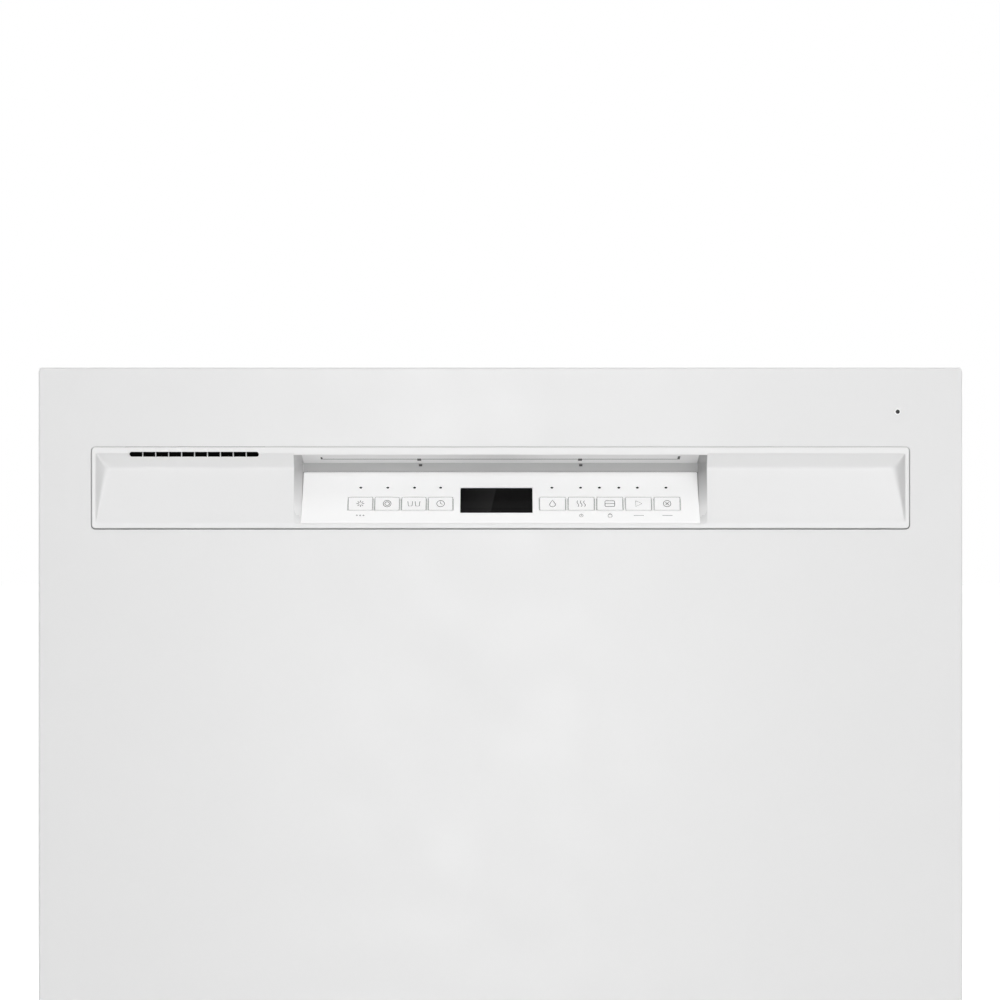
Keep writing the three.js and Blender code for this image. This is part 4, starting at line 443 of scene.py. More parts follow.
class Shape:
    """Collects vertices and faces, then becomes one piece that rides on a body."""

    def __init__(self):
        self.verts, self.faces = [], []

    def add(self, verts, faces):
        start = len(self.verts)
        self.verts += [tuple(float(c) for c in v) for v in verts]
        self.faces += [tuple(i + start for i in face) for face in faces]
        return self

    def loft(self, rings, closed=False):
        """Skins a row of rings that have the same number of points; closed joins the last to the first."""
        count = len(rings[0])
        faces = []
        for row in range(len(rings) - (not closed)):
            a, b = row * count, (row + 1) % len(rings) * count
            faces += [(a + k, a + (k + 1) % count, b + (k + 1) % count, b + k) for k in range(count)]
        if not closed:
            last = (len(rings) - 1) * count
            faces += [tuple(reversed(range(count))), tuple(range(last, last + count))]
        return self.add([p for ring in rings for p in ring], faces)

    def tube(self, path, radius, sides=10, closed=False, tip=False):
        """A round wire along a path; tip rounds its ends."""
        points = [np.array(p, float) for p in path]
        radii = [radius] * len(points)
        if tip:
            nose = ((0.99, 0.14), (0.85, 0.53), (0.5, 0.87))
            first, *_, last = directions(points, False)
            points = [*(points[0] - first * radius * far for far, size in nose), *points,
                      *(points[-1] + last * radius * far for far, size in reversed(nose))]
            ends = [radius * size for far, size in nose]
            radii = ends + radii + ends[::-1]
        side, rings = None, []
        for point, along, size in zip(points, directions(points, closed), radii):
            if side is None:
                side = np.cross(along, (0, 0, 1))
                if np.linalg.norm(side) < 1e-3:
                    side = np.cross(along, (1, 0, 0))
            side = side - along * np.dot(side, along)
            side /= np.linalg.norm(side)
            other = np.cross(along, side)
            rings.append([point + size * (side * cos(a) + other * sin(a)) for a in angles(sides)])
        return self.loft(rings, closed)

    def turn(self, profile, centre, axis="z", steps=32, closed=False):
        """Turns a profile of (radius, place along the axis) round an axis through centre."""
        def ring(radius, height):
            return [centre + np.roll((radius * cos(a), radius * sin(a), height), "zxy".index(axis))
                    for a in angles(steps)]

        return self.loft([ring(max(radius, 0.01), height) for radius, height in profile], closed)

    def disc(self, radius, ends, centre, axis="z", steps=32, rim=None):
        """A round block between two places along its axis; rim cuts its edges by (across, along)."""
        low, high = ends
        edge = [(radius, low), (radius, high)]
        if rim:
            edge = [(radius - rim[0], low), (radius, low + rim[1]), (radius, high - rim[1]),
                    (radius - rim[0], high)]
        return self.turn([(0, low), *edge, (0, high)], centre, axis, steps)

    def block(self, x, y, z, soft):
        """A box with rounded edges."""
        lo, hi = (x[0], y[0], z[0]), (x[1], y[1], z[1])
        soft = min(soft, *((b - a) / 2.2 for a, b in zip(lo, hi)))
        mesh = bmesh.new()
        bmesh.ops.create_cube(mesh, size=1)
        for v in mesh.verts:
            v.co = [a + (b - a) * (c + 0.5) for a, b, c in zip(lo, hi, v.co)]
        bmesh.ops.bevel(mesh, geom=mesh.edges[:], offset=soft, segments=2, affect="EDGES", profile=0.5)
        mesh.verts.index_update()
        self.add([v.co[:] for v in mesh.verts], [[v.index for v in f.verts] for f in mesh.faces])
        mesh.free()
        return self

    def prism(self, outline, axis, low, high, soft=0.0):
        """Pushes a closed outline along an axis, with softened rims."""
        at = "xyz".index(axis)
        points = np.array(outline, float)
        away = points - points.mean(0)
        away /= np.maximum(np.linalg.norm(away, axis=1)[:, None], 1e-6)

        def ring(inset, level):
            return [(*p[:at], level, *p[at:]) for p in (points - away * inset).tolist()]

        steps = [(soft, 0), (0.3 * soft, 0.3 * soft), (0, soft)] if soft else [(0, 0)]
        return self.loft([ring(inset, low + rise) for inset, rise in steps]
                         + [ring(inset, high - rise) for inset, rise in reversed(steps)])

    def moved(self, place):
        """Puts every vertex through a function of (x, y, z)."""
        self.verts = [tuple(place(*v)) for v in self.verts]
        return self

    def mesh(self, name):
        data = bpy.data.meshes.new(name)
        data.from_pydata([(x / 1000, y / 1000, z / 1000) for x, y, z in self.verts], [], self.faces)
        outward = bmesh.new()
        outward.from_mesh(data)
        bmesh.ops.recalc_face_normals(outward, faces=outward.faces[:])
        outward.to_mesh(data)
        outward.free()
        return data

    def piece(self, name, *rest):
        return place_piece(self.mesh(name), name, *rest)


# ------------ CAD nodes that stay

def soften(node, finish, width):
    """Gives a CAD node its finish, and rounds its edges by modifiers."""
    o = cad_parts[node]
    o.data.materials.clear()
    o.data.materials.append(finish.material)
    if "custom_normal" in o.data.attributes:
        o.data.attributes.remove(o.data.attributes["custom_normal"])
    o.data.polygons.foreach_set("use_smooth", [True] * len(o.data.polygons))
    modify(o, "weld", "WELD", merge_threshold=1e-5)
    if width:
        modify(o, "bevel", "BEVEL", width=width / 1000, segments=2, limit_method="ANGLE",
               angle_limit=radians(BEVEL_ANGLE), use_clamp_overlap=True, miter_outer="MITER_ARC")
    modify(o, "edges", "EDGE_SPLIT", split_angle=radians(SMOOTH_ANGLE))
    weigh(o)


KEPT = (  # each node with the width of its rounded edges
    (STEEL_DOOR, {"door_inner_panel": 0.5}),
    (STEEL, {"tub": 0, "rack_rail_left": 0.3, "rack_rail_right": 0.3}),
    (PLATE, {"control_faceplate": 0.2}),
    (KEYCAP, {f"key_{i}": 0.15 for i in range(1, 10)}),
    (DISPLAY, {"display_window": 0.2}),
    (BOARD, {"control_board": 0.1}),
    (LENS, {"status_light": 0.2}),
    (DARK, {"door_latch": 0.6, "rinse_aid_cap": 0.8, "wash_pump_motor": 1.2, "drain_pump": 1.0,
            "inlet_valve": 0.8}),
    (GREY, {"latch_bolt": 0.5, "sump": 0.8, "rear_feed_tube": 1.6, "spray_manifold": 0.8,
            "lower_spray_arm": 1.2, "upper_spray_arm": 1.2}),
    (PALE, {"dispenser_body": 0.8, "dispenser_lid": 0.7, "door_vent": 0.6, "filter_cylinder": 0.4,
            "overfill_float": 0.8, "silverware_basket": 0.5}),
    (RUBBER, {"lower_door_seal": 0.4, "tub_gasket": 1.4}),
    (ZINC, {"hinge_arm_left": 0.5, "hinge_arm_right": 0.5, "door_strike": 0.5,
            "counter_bracket_left": 0.3, "counter_bracket_right": 0.3}),
    (BASE, {"base_frame": 0.5}),
    (KICK, {"toe_kick_panel": 0.4}),
)
for finish, widths in KEPT:
    for node, width in widths.items():
        soften(node, finish, width)


# ------------ console

RIM_ROUND, RIM_ROLL = 2.6, 1.0
RIM_MIDDLE, RIM_TALL = (RIM_LOW + RIM_HIGH) / 2, (RIM_HIGH - RIM_LOW) / 2
SCOOP_HALF, SCOOP_TOP, SCOOP_CREASE, SCOOP_LOW = 265.3, 813.9, 804.4, 767.3
SCOOP_DEPTH, SCOOP_END = 9.0, 10.5
POCKET_HALF, POCKET_INNER, POCKET_TOP, POCKET_DEPTH = 135.8, 131.0, 812.95, 25.0
CEILING_LOW, BACK_LOW, PLATE_LOW = 807.75, 801.75, 767.9
PLATE_SINK, PLATE_FOOT = 2.8, 1.5
SHELL, WINDOW_HALF, WINDOW_Z = 2.4, 124, (772.8, 796.8)
VENT_X, VENT_Z, VENT_HALF, VENT_ROUND, VENT_SLOTS = -200.9, 813.1, 42.45, 1.575, 10


def smooth_min(a, b, soft):
    mix = np.clip(0.5 + 0.5 * (b - a) / soft, 0, 1)
    return b * (1 - mix) + a * mix - soft * mix * (1 - mix)


def scoop_depth(x, z):
    """The two long hollows beside the pocket: a short upper slope, a soft crease and a long lower face."""
    upper = (SCOOP_TOP - z) * SCOOP_DEPTH / (SCOOP_TOP - SCOOP_CREASE)
    lower = (z - SCOOP_LOW) * SCOOP_DEPTH / (SCOOP_CREASE - SCOOP_LOW)
    run = np.clip((SCOOP_HALF - np.abs(x)) / SCOOP_END, 0, 1)
    ends = np.where(run < 1, (SCOOP_DEPTH + 0.8) * (1 - (1 - run) ** 2) + 6 * run ** 4, 99)
    return smooth_min(smooth_min(upper, lower, 1.5), ends, 0.3 + 4.6 * run)


def plate_depth(z):
    """The slope that carries the faceplate."""
    return PLATE_FOOT + (z - PLATE_LOW) * (POCKET_DEPTH - PLATE_FOOT) / (BACK_LOW - PLATE_LOW)


def pocket_depth(x, z):
    """The hand pocket: its ceiling, back wall and end walls, and the slope below them."""
    ceiling = (POCKET_TOP - z) * POCKET_DEPTH / (POCKET_TOP - CEILING_LOW)
    back = np.minimum(np.maximum(ceiling, 0), POCKET_DEPTH)
    profile = np.where(z < BACK_LOW, plate_depth(z), back)
    share = np.clip((POCKET_HALF - np.abs(x)) / (POCKET_HALF - POCKET_INNER), 0, 1)
    at_edge = np.maximum(scoop_depth(POCKET_HALF + 0 * x, z), 0)
    wall = at_edge + (profile - at_edge) * share ** 1.25
    wall = np.where(z > BACK_LOW, smooth_min(wall, np.maximum(ceiling, 0), 1.2), wall)
    under_plate = (np.abs(x) < POCKET_INNER - 0.15) & (z < BACK_LOW)
    return np.where(under_plate, plate_depth(z) + PLATE_SINK, wall)


def console_y(x, z):
    """The front surface, with a rim that rolls back at its outline."""
    qx = np.abs(x) - RIM_HALF + RIM_ROUND
    qz = np.abs(z - RIM_MIDDLE) - RIM_TALL + RIM_ROUND
    outside = np.hypot(np.maximum(qx, 0), np.maximum(qz, 0))
    inset = RIM_ROUND - outside - np.minimum(np.maximum(qx, qz), 0)
    left = RIM_ROLL - np.clip(inset, 0, RIM_ROLL)
    edge = RIM_ROLL - np.sqrt(RIM_ROLL ** 2 - left ** 2)
    in_pocket = (np.abs(x) < POCKET_HALF) & (z < POCKET_TOP) & (z > SCOOP_LOW)
    beside = np.where(np.abs(x) >= POCKET_HALF, scoop_depth(x, z), 0)
    depth = np.maximum(np.where(in_pocket, pocket_depth(x, z), beside), 0)
    return RIM_Y + np.maximum(edge, depth * np.clip(depth / 0.9, 0, 1) ** 0.6)


def lines(*spans):
    """Grid lines from spans of (start, end, step)."""
    out = [np.linspace(start, end, max(2, round(abs(end - start) / step) + 1)) for start, end, step in spans]
    return np.unique(np.round(np.concatenate(out), 4))


def settle_rim(x, z):
    """Draws the grid's corners in to the rim's round corners."""
    cx = np.sign(x) * (RIM_HALF - RIM_ROUND)
    cz = RIM_MIDDLE + np.sign(z - RIM_MIDDLE) * (RIM_TALL - RIM_ROUND)
    far = np.hypot(x - cx, z - cz)
    corner = (np.abs(x) > RIM_HALF - RIM_ROUND) & (np.abs(z - RIM_MIDDLE) > RIM_TALL - RIM_ROUND)
    factor = np.where(corner & (far > RIM_ROUND), RIM_ROUND / np.maximum(far, 1e-6), 1)
    return cx + (x - cx) * factor, cz + (z - cz) * factor


def console_mesh(xs, zs):
    """The front surface over a grid, as a sheet with a window behind the faceplate."""
    gx, gz = settle_rim(*np.meshgrid(xs, zs, indexing="ij"))
    gy = console_y(gx, gz)
    mesh = bmesh.new()
    rows = [[mesh.verts.new((gx[i, j], gy[i, j], gz[i, j])) for j in range(len(zs))] for i in range(len(xs))]
    for i in range(len(xs) - 1):
        for j in range(len(zs) - 1):
            x, z = (xs[i] + xs[i + 1]) / 2, (zs[j] + zs[j + 1]) / 2
            if abs(x) >= WINDOW_HALF or not WINDOW_Z[0] < z < WINDOW_Z[1]:
                mesh.faces.new((rows[i][j], rows[i + 1][j], rows[i + 1][j + 1], rows[i][j + 1]))
    bmesh.ops.delete(mesh, geom=[v for v in mesh.verts if not v.link_faces], context="VERTS")
    bmesh.ops.remove_doubles(mesh, verts=mesh.verts[:], dist=0.02)
    bmesh.ops.dissolve_degenerate(mesh, edges=mesh.edges[:], dist=0.005)
    front = mesh.faces[:]
    border = [tuple(e.verts) for e in mesh.edges if e.is_boundary]
    twin = {v: mesh.verts.new((v.co.x, v.co.y + SHELL, v.co.z)) for v in mesh.verts[:]}
    for face in front:
        mesh.faces.new([twin[v] for v in reversed(face.verts)])
    for a, b in border:
        mesh.faces.new((a, b, twin[b], twin[a]))
    bmesh.ops.recalc_face_normals(mesh, faces=mesh.faces[:])
    bmesh.ops.scale(mesh, vec=(0.001, 0.001, 0.001), verts=mesh.verts[:])
    data = bpy.data.meshes.new("console_shell")
    mesh.to_mesh(data)
    mesh.free()
    return data


def shell_finish(x, y, z, normal):
    """The moulding's finish for a face: the pocket's end walls and upper corners, back wall and ceiling take
    darker copies with painted shade.
    """
    if abs(x) < POCKET_HALF - 0.1 and z < POCKET_TOP and normal.y < -0.02:
        in_corner = abs(x) > POCKET_INNER - 0.6 and z > BACK_LOW and y > RIM_Y + 1.2
        if abs(normal.x) > 0.6 or in_corner:
            return WALL_LEFT_SHADE if x < 0 else WALL_RIGHT_SHADE
        if z > BACK_LOW - 1 and y > RIM_Y + 3 and abs(normal.z) < 0.7:
            return POCKET_BACK_SHADE
        if z > BACK_LOW - 1 and y > RIM_Y + 0.8:
            return CEILING_SHADE
    return HOUSING


vent_x = about(VENT_X, VENT_HALF)
vent_z = about(VENT_Z, VENT_ROUND)
bars = Shape()
for at in spread(VENT_SLOTS + 1, *vent_x)[1:-1]:
    bars.block(about(at, 0.26), (RIM_Y + 3.4, RIM_Y + 6.6), (vent_z[0] - 1, vent_z[1] + 1), 0.15)
bars.piece("vent_bars", "door", "console_moulding", HOUSING)

# The grid is finest over the pocket's end walls, the scoops' ends, the creases and the rim.
half_x = lines((129.4, 137.2, 0.3), (137.2, 250, 8), (250, 266, 0.5), (266, RIM_HALF, 0.22))
middle_x = lines((-129.4, 129.4, 12))
console_z = lines((RIM_LOW, 769.2, 0.22), (769.2, 800.6, 1.0), (800.6, 814.6, 0.28), (814.6, RIM_HIGH, 0.25),
                  (BACK_LOW - 0.02, BACK_LOW + 0.02, 0.04))
console_x = np.unique(np.concatenate([-half_x, middle_x, half_x]))
vent = Shape().prism(rounded(vent_x, vent_z, VENT_ROUND, 8), "y", RIM_Y - 3, RIM_Y + 8)
shell_mesh = carved("console_shell", console_mesh(console_x, console_z), vent)
SHELL_SHADES = [HOUSING, POCKET_BACK_SHADE, WALL_LEFT_SHADE, WALL_RIGHT_SHADE, CEILING_SHADE]
place_piece(shell_mesh, "console_shell", "door", "console_moulding", SHELL_SHADES, ("console_housing",), 42)
for face in shell_mesh.polygons:
    face.material_index = SHELL_SHADES.index(shell_finish(*(1000 * c for c in face.center), face.normal))

# A duct behind the vent slots, near black as painted shade for the vent's dark inside.
duct = Shape().block(about(VENT_X, 46), (RIM_Y + 7.8, RIM_Y + 10.4), (807.5, 818.5), 0.5)
duct.piece("vent_duct", "door", "dark_plastic", VENT_SHADE)

# Where the pocket's collar meets the insert: a fine seam along the ceiling with two snap notches, drawn as
# dark strips of painted shadow.
seam = Shape()


def ceiling_strip(x0, x1, depth0, depth1):
    """A strip just under the ceiling, between two depths behind the rim's front."""
    slope = (POCKET_TOP - CEILING_LOW) / POCKET_DEPTH
    seam.loft([[(x, RIM_Y + depth, POCKET_TOP - slope * depth - proud)
                for x, depth in ((x0, depth0), (x1, depth0), (x1, depth1), (x0, depth1))]
               for proud in (0.09, -0.1)])


ceiling_strip(-117.2, 117.2, 13.1, 14.3)
ceiling_strip(-118.4, -117.2, 8.0, 14.3)
ceiling_strip(116.6, 118.2, 5.0, 14.3)
for notch in (-53.6, 52.5):
    ceiling_strip(notch - 1.3, notch + 1.3, 12.0, 18.5)
    seam.block((notch - 0.4, notch + 1.8), (RIM_Y + 24.6, RIM_Y + 25.1), (805.4, 806.9), 0.1)
seam.piece("pocket_seam", "door", "console_moulding", SEAM_SHADOW)


# ------------ marks on the faceplate and keys

# They lie on the faceplate's slope, at (x, distance up the slope).
SLOPE = atan2(BACK_LOW - PLATE_LOW, POCKET_DEPTH - PLATE_FOOT)
KEY_UP, KEY_HALF_HEIGHT, KEY_EDGE, LAMP_UP = 15.4, 5.5, 0.32, 28.4
LAMP_X = (-92.2, -74.4, -56.7, -39.5, 34.0, 52.9, 65.4, 78.2, 90.4, 109.3)
OUTLINE_WIDTH, SIGN_WIDTH, CAPTION_WIDTH, PRINT = 0.24, 0.46, 0.34, 0.04


def on_slope(proud):
    """Puts (x, up the slope, above the slope) into place."""
    def place(x, up, over):
        y = RIM_Y + PLATE_FOOT + up * cos(SLOPE) - (over + proud) * sin(SLOPE)
        return (x, y, PLATE_LOW + up * sin(SLOPE) + (over + proud) * cos(SLOPE))
    return place


lamps = Shape()
for x in LAMP_X:
    lamps.prism([(x + cos(a), LAMP_UP + 0.72 * sin(a)) for a in angles(16)], "z", -0.3, 0.12, 0.1)
lamps.moved(on_slope(0)).piece("indicator_lenses", "door", "status_lens", LENS)

bezel = [(1.42, 0.6), (1.42, -0.16), (1.58, -0.22), (1.9, -0.12), (2.1, 0.02), (1.72, 0.1), (1.72, 0.6)]
Shape().turn(bezel, (LIGHT_X, DOOR_Y, LIGHT_Z), "y", 28, closed=True).piece(
    "status_light_bezel", "door", "console_moulding", PLATE)

# Painted sheet: a flat face, rounded folds and returns, with a slot between the folds at the top corners.
FOLD, SHEET, PANEL_CORNER, RETURN_DEPTH = 1.5, 1.2, 2.2, 19.8
HOLE_HALF, HOLE_LOW, HOLE_HIGH = RIM_HALF + 0.42, RIM_LOW - 0.68, RIM_HIGH + 0.22
CUT_Y, SLIT_WIDE, SLIT_Z = (-312, -306), 0.65, (867.9, 868.9)
fold = [(FOLD * (1 - sin(radians(d))), FOLD * (1 - cos(radians(d)))) for d in range(0, 91, 15)]
door = Shape().loft([
    [(x, DOOR_Y + back, z)
     for x, z in rounded((-PANEL_HALF + inset, PANEL_HALF - inset), (PANEL_LOW + inset, PANEL_HIGH - inset),
                         PANEL_CORNER - inset, 5)]
    for inset, back in [*fold, (0, RETURN_DEPTH)]])
well = Shape().block((-PANEL_HALF + SHEET, PANEL_HALF - SHEET), (DOOR_Y + SHEET, DOOR_Y + RETURN_DEPTH + 5),
                     (PANEL_LOW + SHEET, PANEL_HIGH - SHEET), 0.8)
hole = Shape().prism(rounded((-HOLE_HALF, HOLE_HALF), (HOLE_LOW, HOLE_HIGH), 2.9), "y", *CUT_Y)
pinhole = Shape().disc(1.75, CUT_Y, (LIGHT_X, 0, LIGHT_Z), "y", 28)
slits = Shape()
for _, side in SIDES:
    slits.add([(x, y, z) for x in sided(side, PANEL_HALF - SLIT_WIDE, PANEL_HALF + 1)
               for y in (CUT_Y[0], DOOR_Y + RETURN_DEPTH + 1) for z in SLIT_Z],
              [(0, 1, 3, 2), (4, 6, 7, 5), (0, 4, 5, 1), (2, 3, 7, 6), (0, 2, 6, 4), (1, 5, 7, 3)])
place_piece(carved("door_skin", door.mesh("door_skin"), well, hole, pinhole, slits), "door_skin", "door",
            "door_paint", PAINT, ("door_outer_panel",), 40)


class Lines:
    """Thin printed lines on the slope."""

    def __init__(self, width):
        self.shape, self.half = Shape(), width / 2

    def draw(self, origin, *strokes):
        for points, closed in strokes:
            points = [np.array(p, float) + origin for p in points]
            rings = []
            for p, along in zip(points, directions(points, closed)):
                across = np.array((-along[1], along[0])) * self.half
                left, right = p + across, p - across
                rings.append([(*left, 0), (*left, PRINT), (*right, PRINT), (*right, 0)])
            self.shape.loft(rings, closed)

    def finish(self, name, body, proud):
        self.shape.moved(on_slope(proud)).piece(name, body, "status_lens", INK)


def line(*points):
    return points, False


def ring(*points):
    return points, True


def circle(radius):
    return ring(*arc((0, 0), radius, 0, 360, 20)[:-1])


SIGNS = (  # plain signs of the kind that any dishwasher has, from key 1 on
    [line(*((r * cos(a), r * sin(a)) for r in (1.0, 2.6))) for a in angles(8)],
    [circle(2.6), circle(1.5)],
    [line((x - 1.6, 1.9), (x - 1.2, -1.9), (x + 1.2, -1.9), (x + 1.6, 1.9)) for x in (-2.4, 2.4)],
    [circle(2.5), line((0, 1.7), (0, 0), (1.3, -0.5))],
    [ring((0, 2.9), *arc((0, -0.7), 1.9, 40, -220, 16))],
    [line(*((x + 0.6 * sin(2.1 * t), 1.6 * t - 2.4) for t in spread(10, 0, 3))) for x in (-2.2, 0, 2.2)],
    [ring(*rounded((-3.2, 3.2), (-2.3, 2.3), 0.8, 3)), line((-3.0, 0), (3.0, 0))],
    [ring((-1.8, 2.3), (2.3, 0), (-1.8, -2.3))],
    [circle(2.5), line((-1.1, -1.1), (1.1, 1.1)), line((-1.1, 1.1), (1.1, -1.1))],
)
KEY_X = [centre_of(f"key_{i}")[0] for i in range(1, 10)]
for i, (sign, centre) in enumerate(zip(SIGNS, KEY_X), 1):
    art = Lines(OUTLINE_WIDTH)
    half = box_of(f"key_{i}")[1][0] - centre - KEY_EDGE
    tall = KEY_HALF_HEIGHT - KEY_EDGE
    art.draw((centre, KEY_UP), ring(*rounded((-half, half), (-tall, tall), 0.4, 3)))
    art.half = SIGN_WIDTH / 2
    art.draw((centre, KEY_UP), *sign)
    art.finish(f"key_{i}_sign", f"key_{i}_body", 0.26)

captions = Lines(CAPTION_WIDTH)
for dx in (-2.2, 0, 2.2):
    captions.draw((KEY_X[0] + dx, 6.2), circle(0.42))
captions.draw((KEY_X[6], 0), ring(*rounded((-1.3, 1.3), (4.8, 6.8), 0.3, 2)),
              line(*arc((0, 6.9), 0.85, 0, 180, 20)))
captions.draw((KEY_X[5], 6.1), circle(1.2), line((0, 0.8), (0, 0), (0.6, -0.3)))
for centre in KEY_X[7:]:
    captions.draw((centre, 6.1), line((-3.4, 0), (3.4, 0)))
captions.finish("faceplate_marks", "door", 0)


# ------------ racks

WIRE, HOOP_WIRE, RIM_WIRE, WIRE_BEND = 1.8, 2.07, 2.6, 14
WHEELS = ("front_left", "rear_left", "front_right", "rear_right")
RACKS = (  # half the width, front and back, floor and rim, then the rows, places and height of tines
    ("lower", 253, (-228, 256), (216, 362), (2, 4), spread(9, -211, 103), 74),
    ("upper", 248, (-222, 240), (522, 646), (1, 3), spread(13, -203, 203), 46),
)

# Coated wires bent up at both ends to two hoops, with tines, and with wheel axles on the lower rack
for name, half, y, z, rows, xs, tall in RACKS:
    rack, crossing, low = Shape(), spread(5, y[0] + 30, y[1] - 30), z[0] + 1.2 * WIRE
    for level, wire, sides in ((z[1], RIM_WIRE, 12), ((z[0] + z[1]) / 2, HOOP_WIRE, 10)):
        hoop = [(px, py, level) for px, py in rounded((-half, half), y, 18, 8)]
        rack.tube(hoop[::-1], wire, sides, closed=True)
    for x in spread(13, -half + 24, half - 24):
        path = [(x, y[0], z[1]), (x, y[0], z[0]), (x, y[1], z[0]), (x, y[1], z[1])]
        rack.tube(bend(path, WIRE_BEND), WIRE, tip=True)
    for at in crossing:
        path = [(-half, at, z[1]), (-half, at, low), (half, at, low), (half, at, z[1])]
        rack.tube(bend(path, WIRE_BEND), WIRE, tip=True)
    foot = z[0] + WIRE
    for at in (crossing[row] for row in rows):
        for x in xs:
            path = [(x, at, foot), (x, at, foot + tall / 2), (x, at, foot + tall - 1.6)]
            rack.tube(path, WIRE * 0.9, 8, tip=True)
    for side in (-1, 1) if name == "lower" else ():
        rack.tube([(side * half, end, z[0]) for end in y], RIM_WIRE, 12, tip=True)
        for wheel in WHEELS[:2]:
            _, wheel_y, wheel_z = centre_of(f"wheel_{wheel}")
            rack.disc(3, sided(side, 250, 268.4), (0, wheel_y, wheel_z), "x", 18, (0.4, 0.5))
            rack.tube([(side * half, wheel_y, up) for up in (wheel_z - 2.5, 250, 289)], WIRE, tip=True)
    rack.piece(f"{name}_rack_wires", f"{name}_rack_body", "nylon_wire", NYLON, (f"{name}_rack",), 50)
hangers = Shape()
for _, side in SIDES:
    for y in (-20, 215):
        hangers.block(sided(side, 248.3, 250.6), about(y, 12), (584, 645.8), 0.9)
        hangers.disc(3.4, sided(side, 249, 270.6), (0, y, RAIL_Z), "x", 20)
        hangers.disc(4, sided(side, 268.2, 270.7), (0, y, RAIL_Z), "x", 24, (0.5, 0.4))
hangers.piece("upper_rack_hangers", "upper_rack_body", "grey_plastic", GREY)

for name in WHEELS:
    (low_x, *_), (high_x, *_) = box_of(f"wheel_{name}")
    _, y, z = centre_of(f"wheel_{name}")
    tread = [(16.6, low_x + 0.6), (19.2, low_x), (20, low_x + 0.9), (20, low_x + 4.6), (19.4, low_x + 5.5),
             (20, low_x + 6.4), (20, high_x - 0.9), (19.2, high_x), (16.6, high_x - 0.6)]
    hub = [(3.3, low_x + 0.3), (5.6, low_x + 0.3), (6.2, low_x + 1), (6.2, high_x - 1), (5.6, high_x - 0.3),
           (3.3, high_x - 0.3)]
    wheel = Shape().turn(tread, (0, y, z), "x", 40, closed=True).turn(hub, (0, y, z), "x", 28, closed=True)
    for a in angles(6):
        c, s = cos(a), sin(a)
        spoke = Shape().block((low_x + 2.6, high_x - 2.6), (5.4, 17.4), (-1.5, 1.5), 0.5)
        wheel.add([(x, y + v * c - w * s, z + v * s + w * c) for x, v, w in spoke.verts], spoke.faces)
    wheel.piece(f"roller_{name}", f"wheel_{name}_body", "grey_plastic", PALE, (f"wheel_{name}",), 40)

# Slats across the basket's windows
BASKET_WALL, BASKET_CELLS, WINDOW_RISES, WINDOW_TALL = 2.4, 5, (14, 62), 38
(x_low, y_low, z_low), (x_high, y_high, _) = box_of("silverware_basket")
pitch = (y_high - y_low - BASKET_WALL) / BASKET_CELLS
slats = Shape()
for k in range(BASKET_CELLS):
    middle = y_low + (pitch + BASKET_WALL) / 2 + k * pitch
    for z in (z_low + rise for rise in WINDOW_RISES):
        for x in (x_low + 0.3, x_high - 2):
            for y in (middle + dy for dy in (-9.5, -3.2, 3.2, 9.5)):
                slats.block((x, x + 1.7), about(y, 0.8), (z - 0.6, z + WINDOW_TALL + 0.6), 0.35)
            slats.block((x + 0.2, x + 1.5), about(middle, 16.4), (z + 18.2, z + 19.8), 0.35)
slats.piece("basket_slats", "silverware_basket_body", "grey_plastic", PALE)


# ------------ spray arms, heater and springs

for name in ("lower", "upper"):
    reach, _, top = box_of(f"{name}_spray_arm")[1]
    half = reach - 17
    jets = Shape()
    jet = [(2.25, -1.5), (2.25, 0.2), (2.6, 0.7), (3.9, 0.7), (4.7, 0), (4.7, -1.5)]
    for share in spread(4, 0.35, 0.95):
        for _, side in SIDES:
            jets.turn(jet, (side * share * half, AXIS_Y + 6 * side, top), "z", 22, closed=True)
    for _, side in SIDES:
        middle = AXIS_Y - 9 * side
        jets.block(sided(side, 0.30 * half, 0.94 * half), about(middle, 0.9), (top - 0.6, top + 0.8), 0.6)
    if name == "upper":
        jets.turn([(0, -13.6), (7, -13.6), (9.5, -12.4), (10, -11.2), (0, -11.2)], (0, AXIS_Y, top), "z", 30)
    jets.piece(f"{name}_arm_jets", f"{name}_spray_arm_body", "grey_plastic", DARK)

ELEMENT_RADIUS, ELEMENT_Z, ELEMENT_GAP = 150, 183, 0.42
ELEMENT_WIRE, CLIP_ANGLE = 3.4, 1.25


def on_element(a):
    return ELEMENT_RADIUS * sin(a), AXIS_Y + ELEMENT_RADIUS * cos(a)


sweep = [(*on_element(a), ELEMENT_Z) for a in spread(72, ELEMENT_GAP, 2 * pi - ELEMENT_GAP)]
first, last = ([(*end[:2], ELEMENT_Z - drop) for drop in (34, 18, 9, 4, 1)] for end in (sweep[0], sweep[-1]))
heater = Shape().tube(first + sweep[1:-1] + last[::-1], ELEMENT_WIRE, 14)
heater.piece("heater_tube", "cabinet", "stainless", HEATER, ("heating_element",), 60)
clips = Shape()
for a in (CLIP_ANGLE, pi, 2 * pi - CLIP_ANGLE):
    x, y = on_element(a)
    clips.block(about(x, 3), about(y, 5.5), (171.5, 180.4), 0.8)
    clips.block(about(x, 2), about(y, 7.5), (171.2, 172.8), 0.5)
for x, y, _ in (sweep[0], sweep[-1]):
    clips.turn([(0, 0), (9, 0), (9, 2.5), (7.6, 3.7), (0, 3.7)], (x, y, 170.9), "z", 6)
clips.piece("heater_clips", "cabinet", "zinc", ZINC)

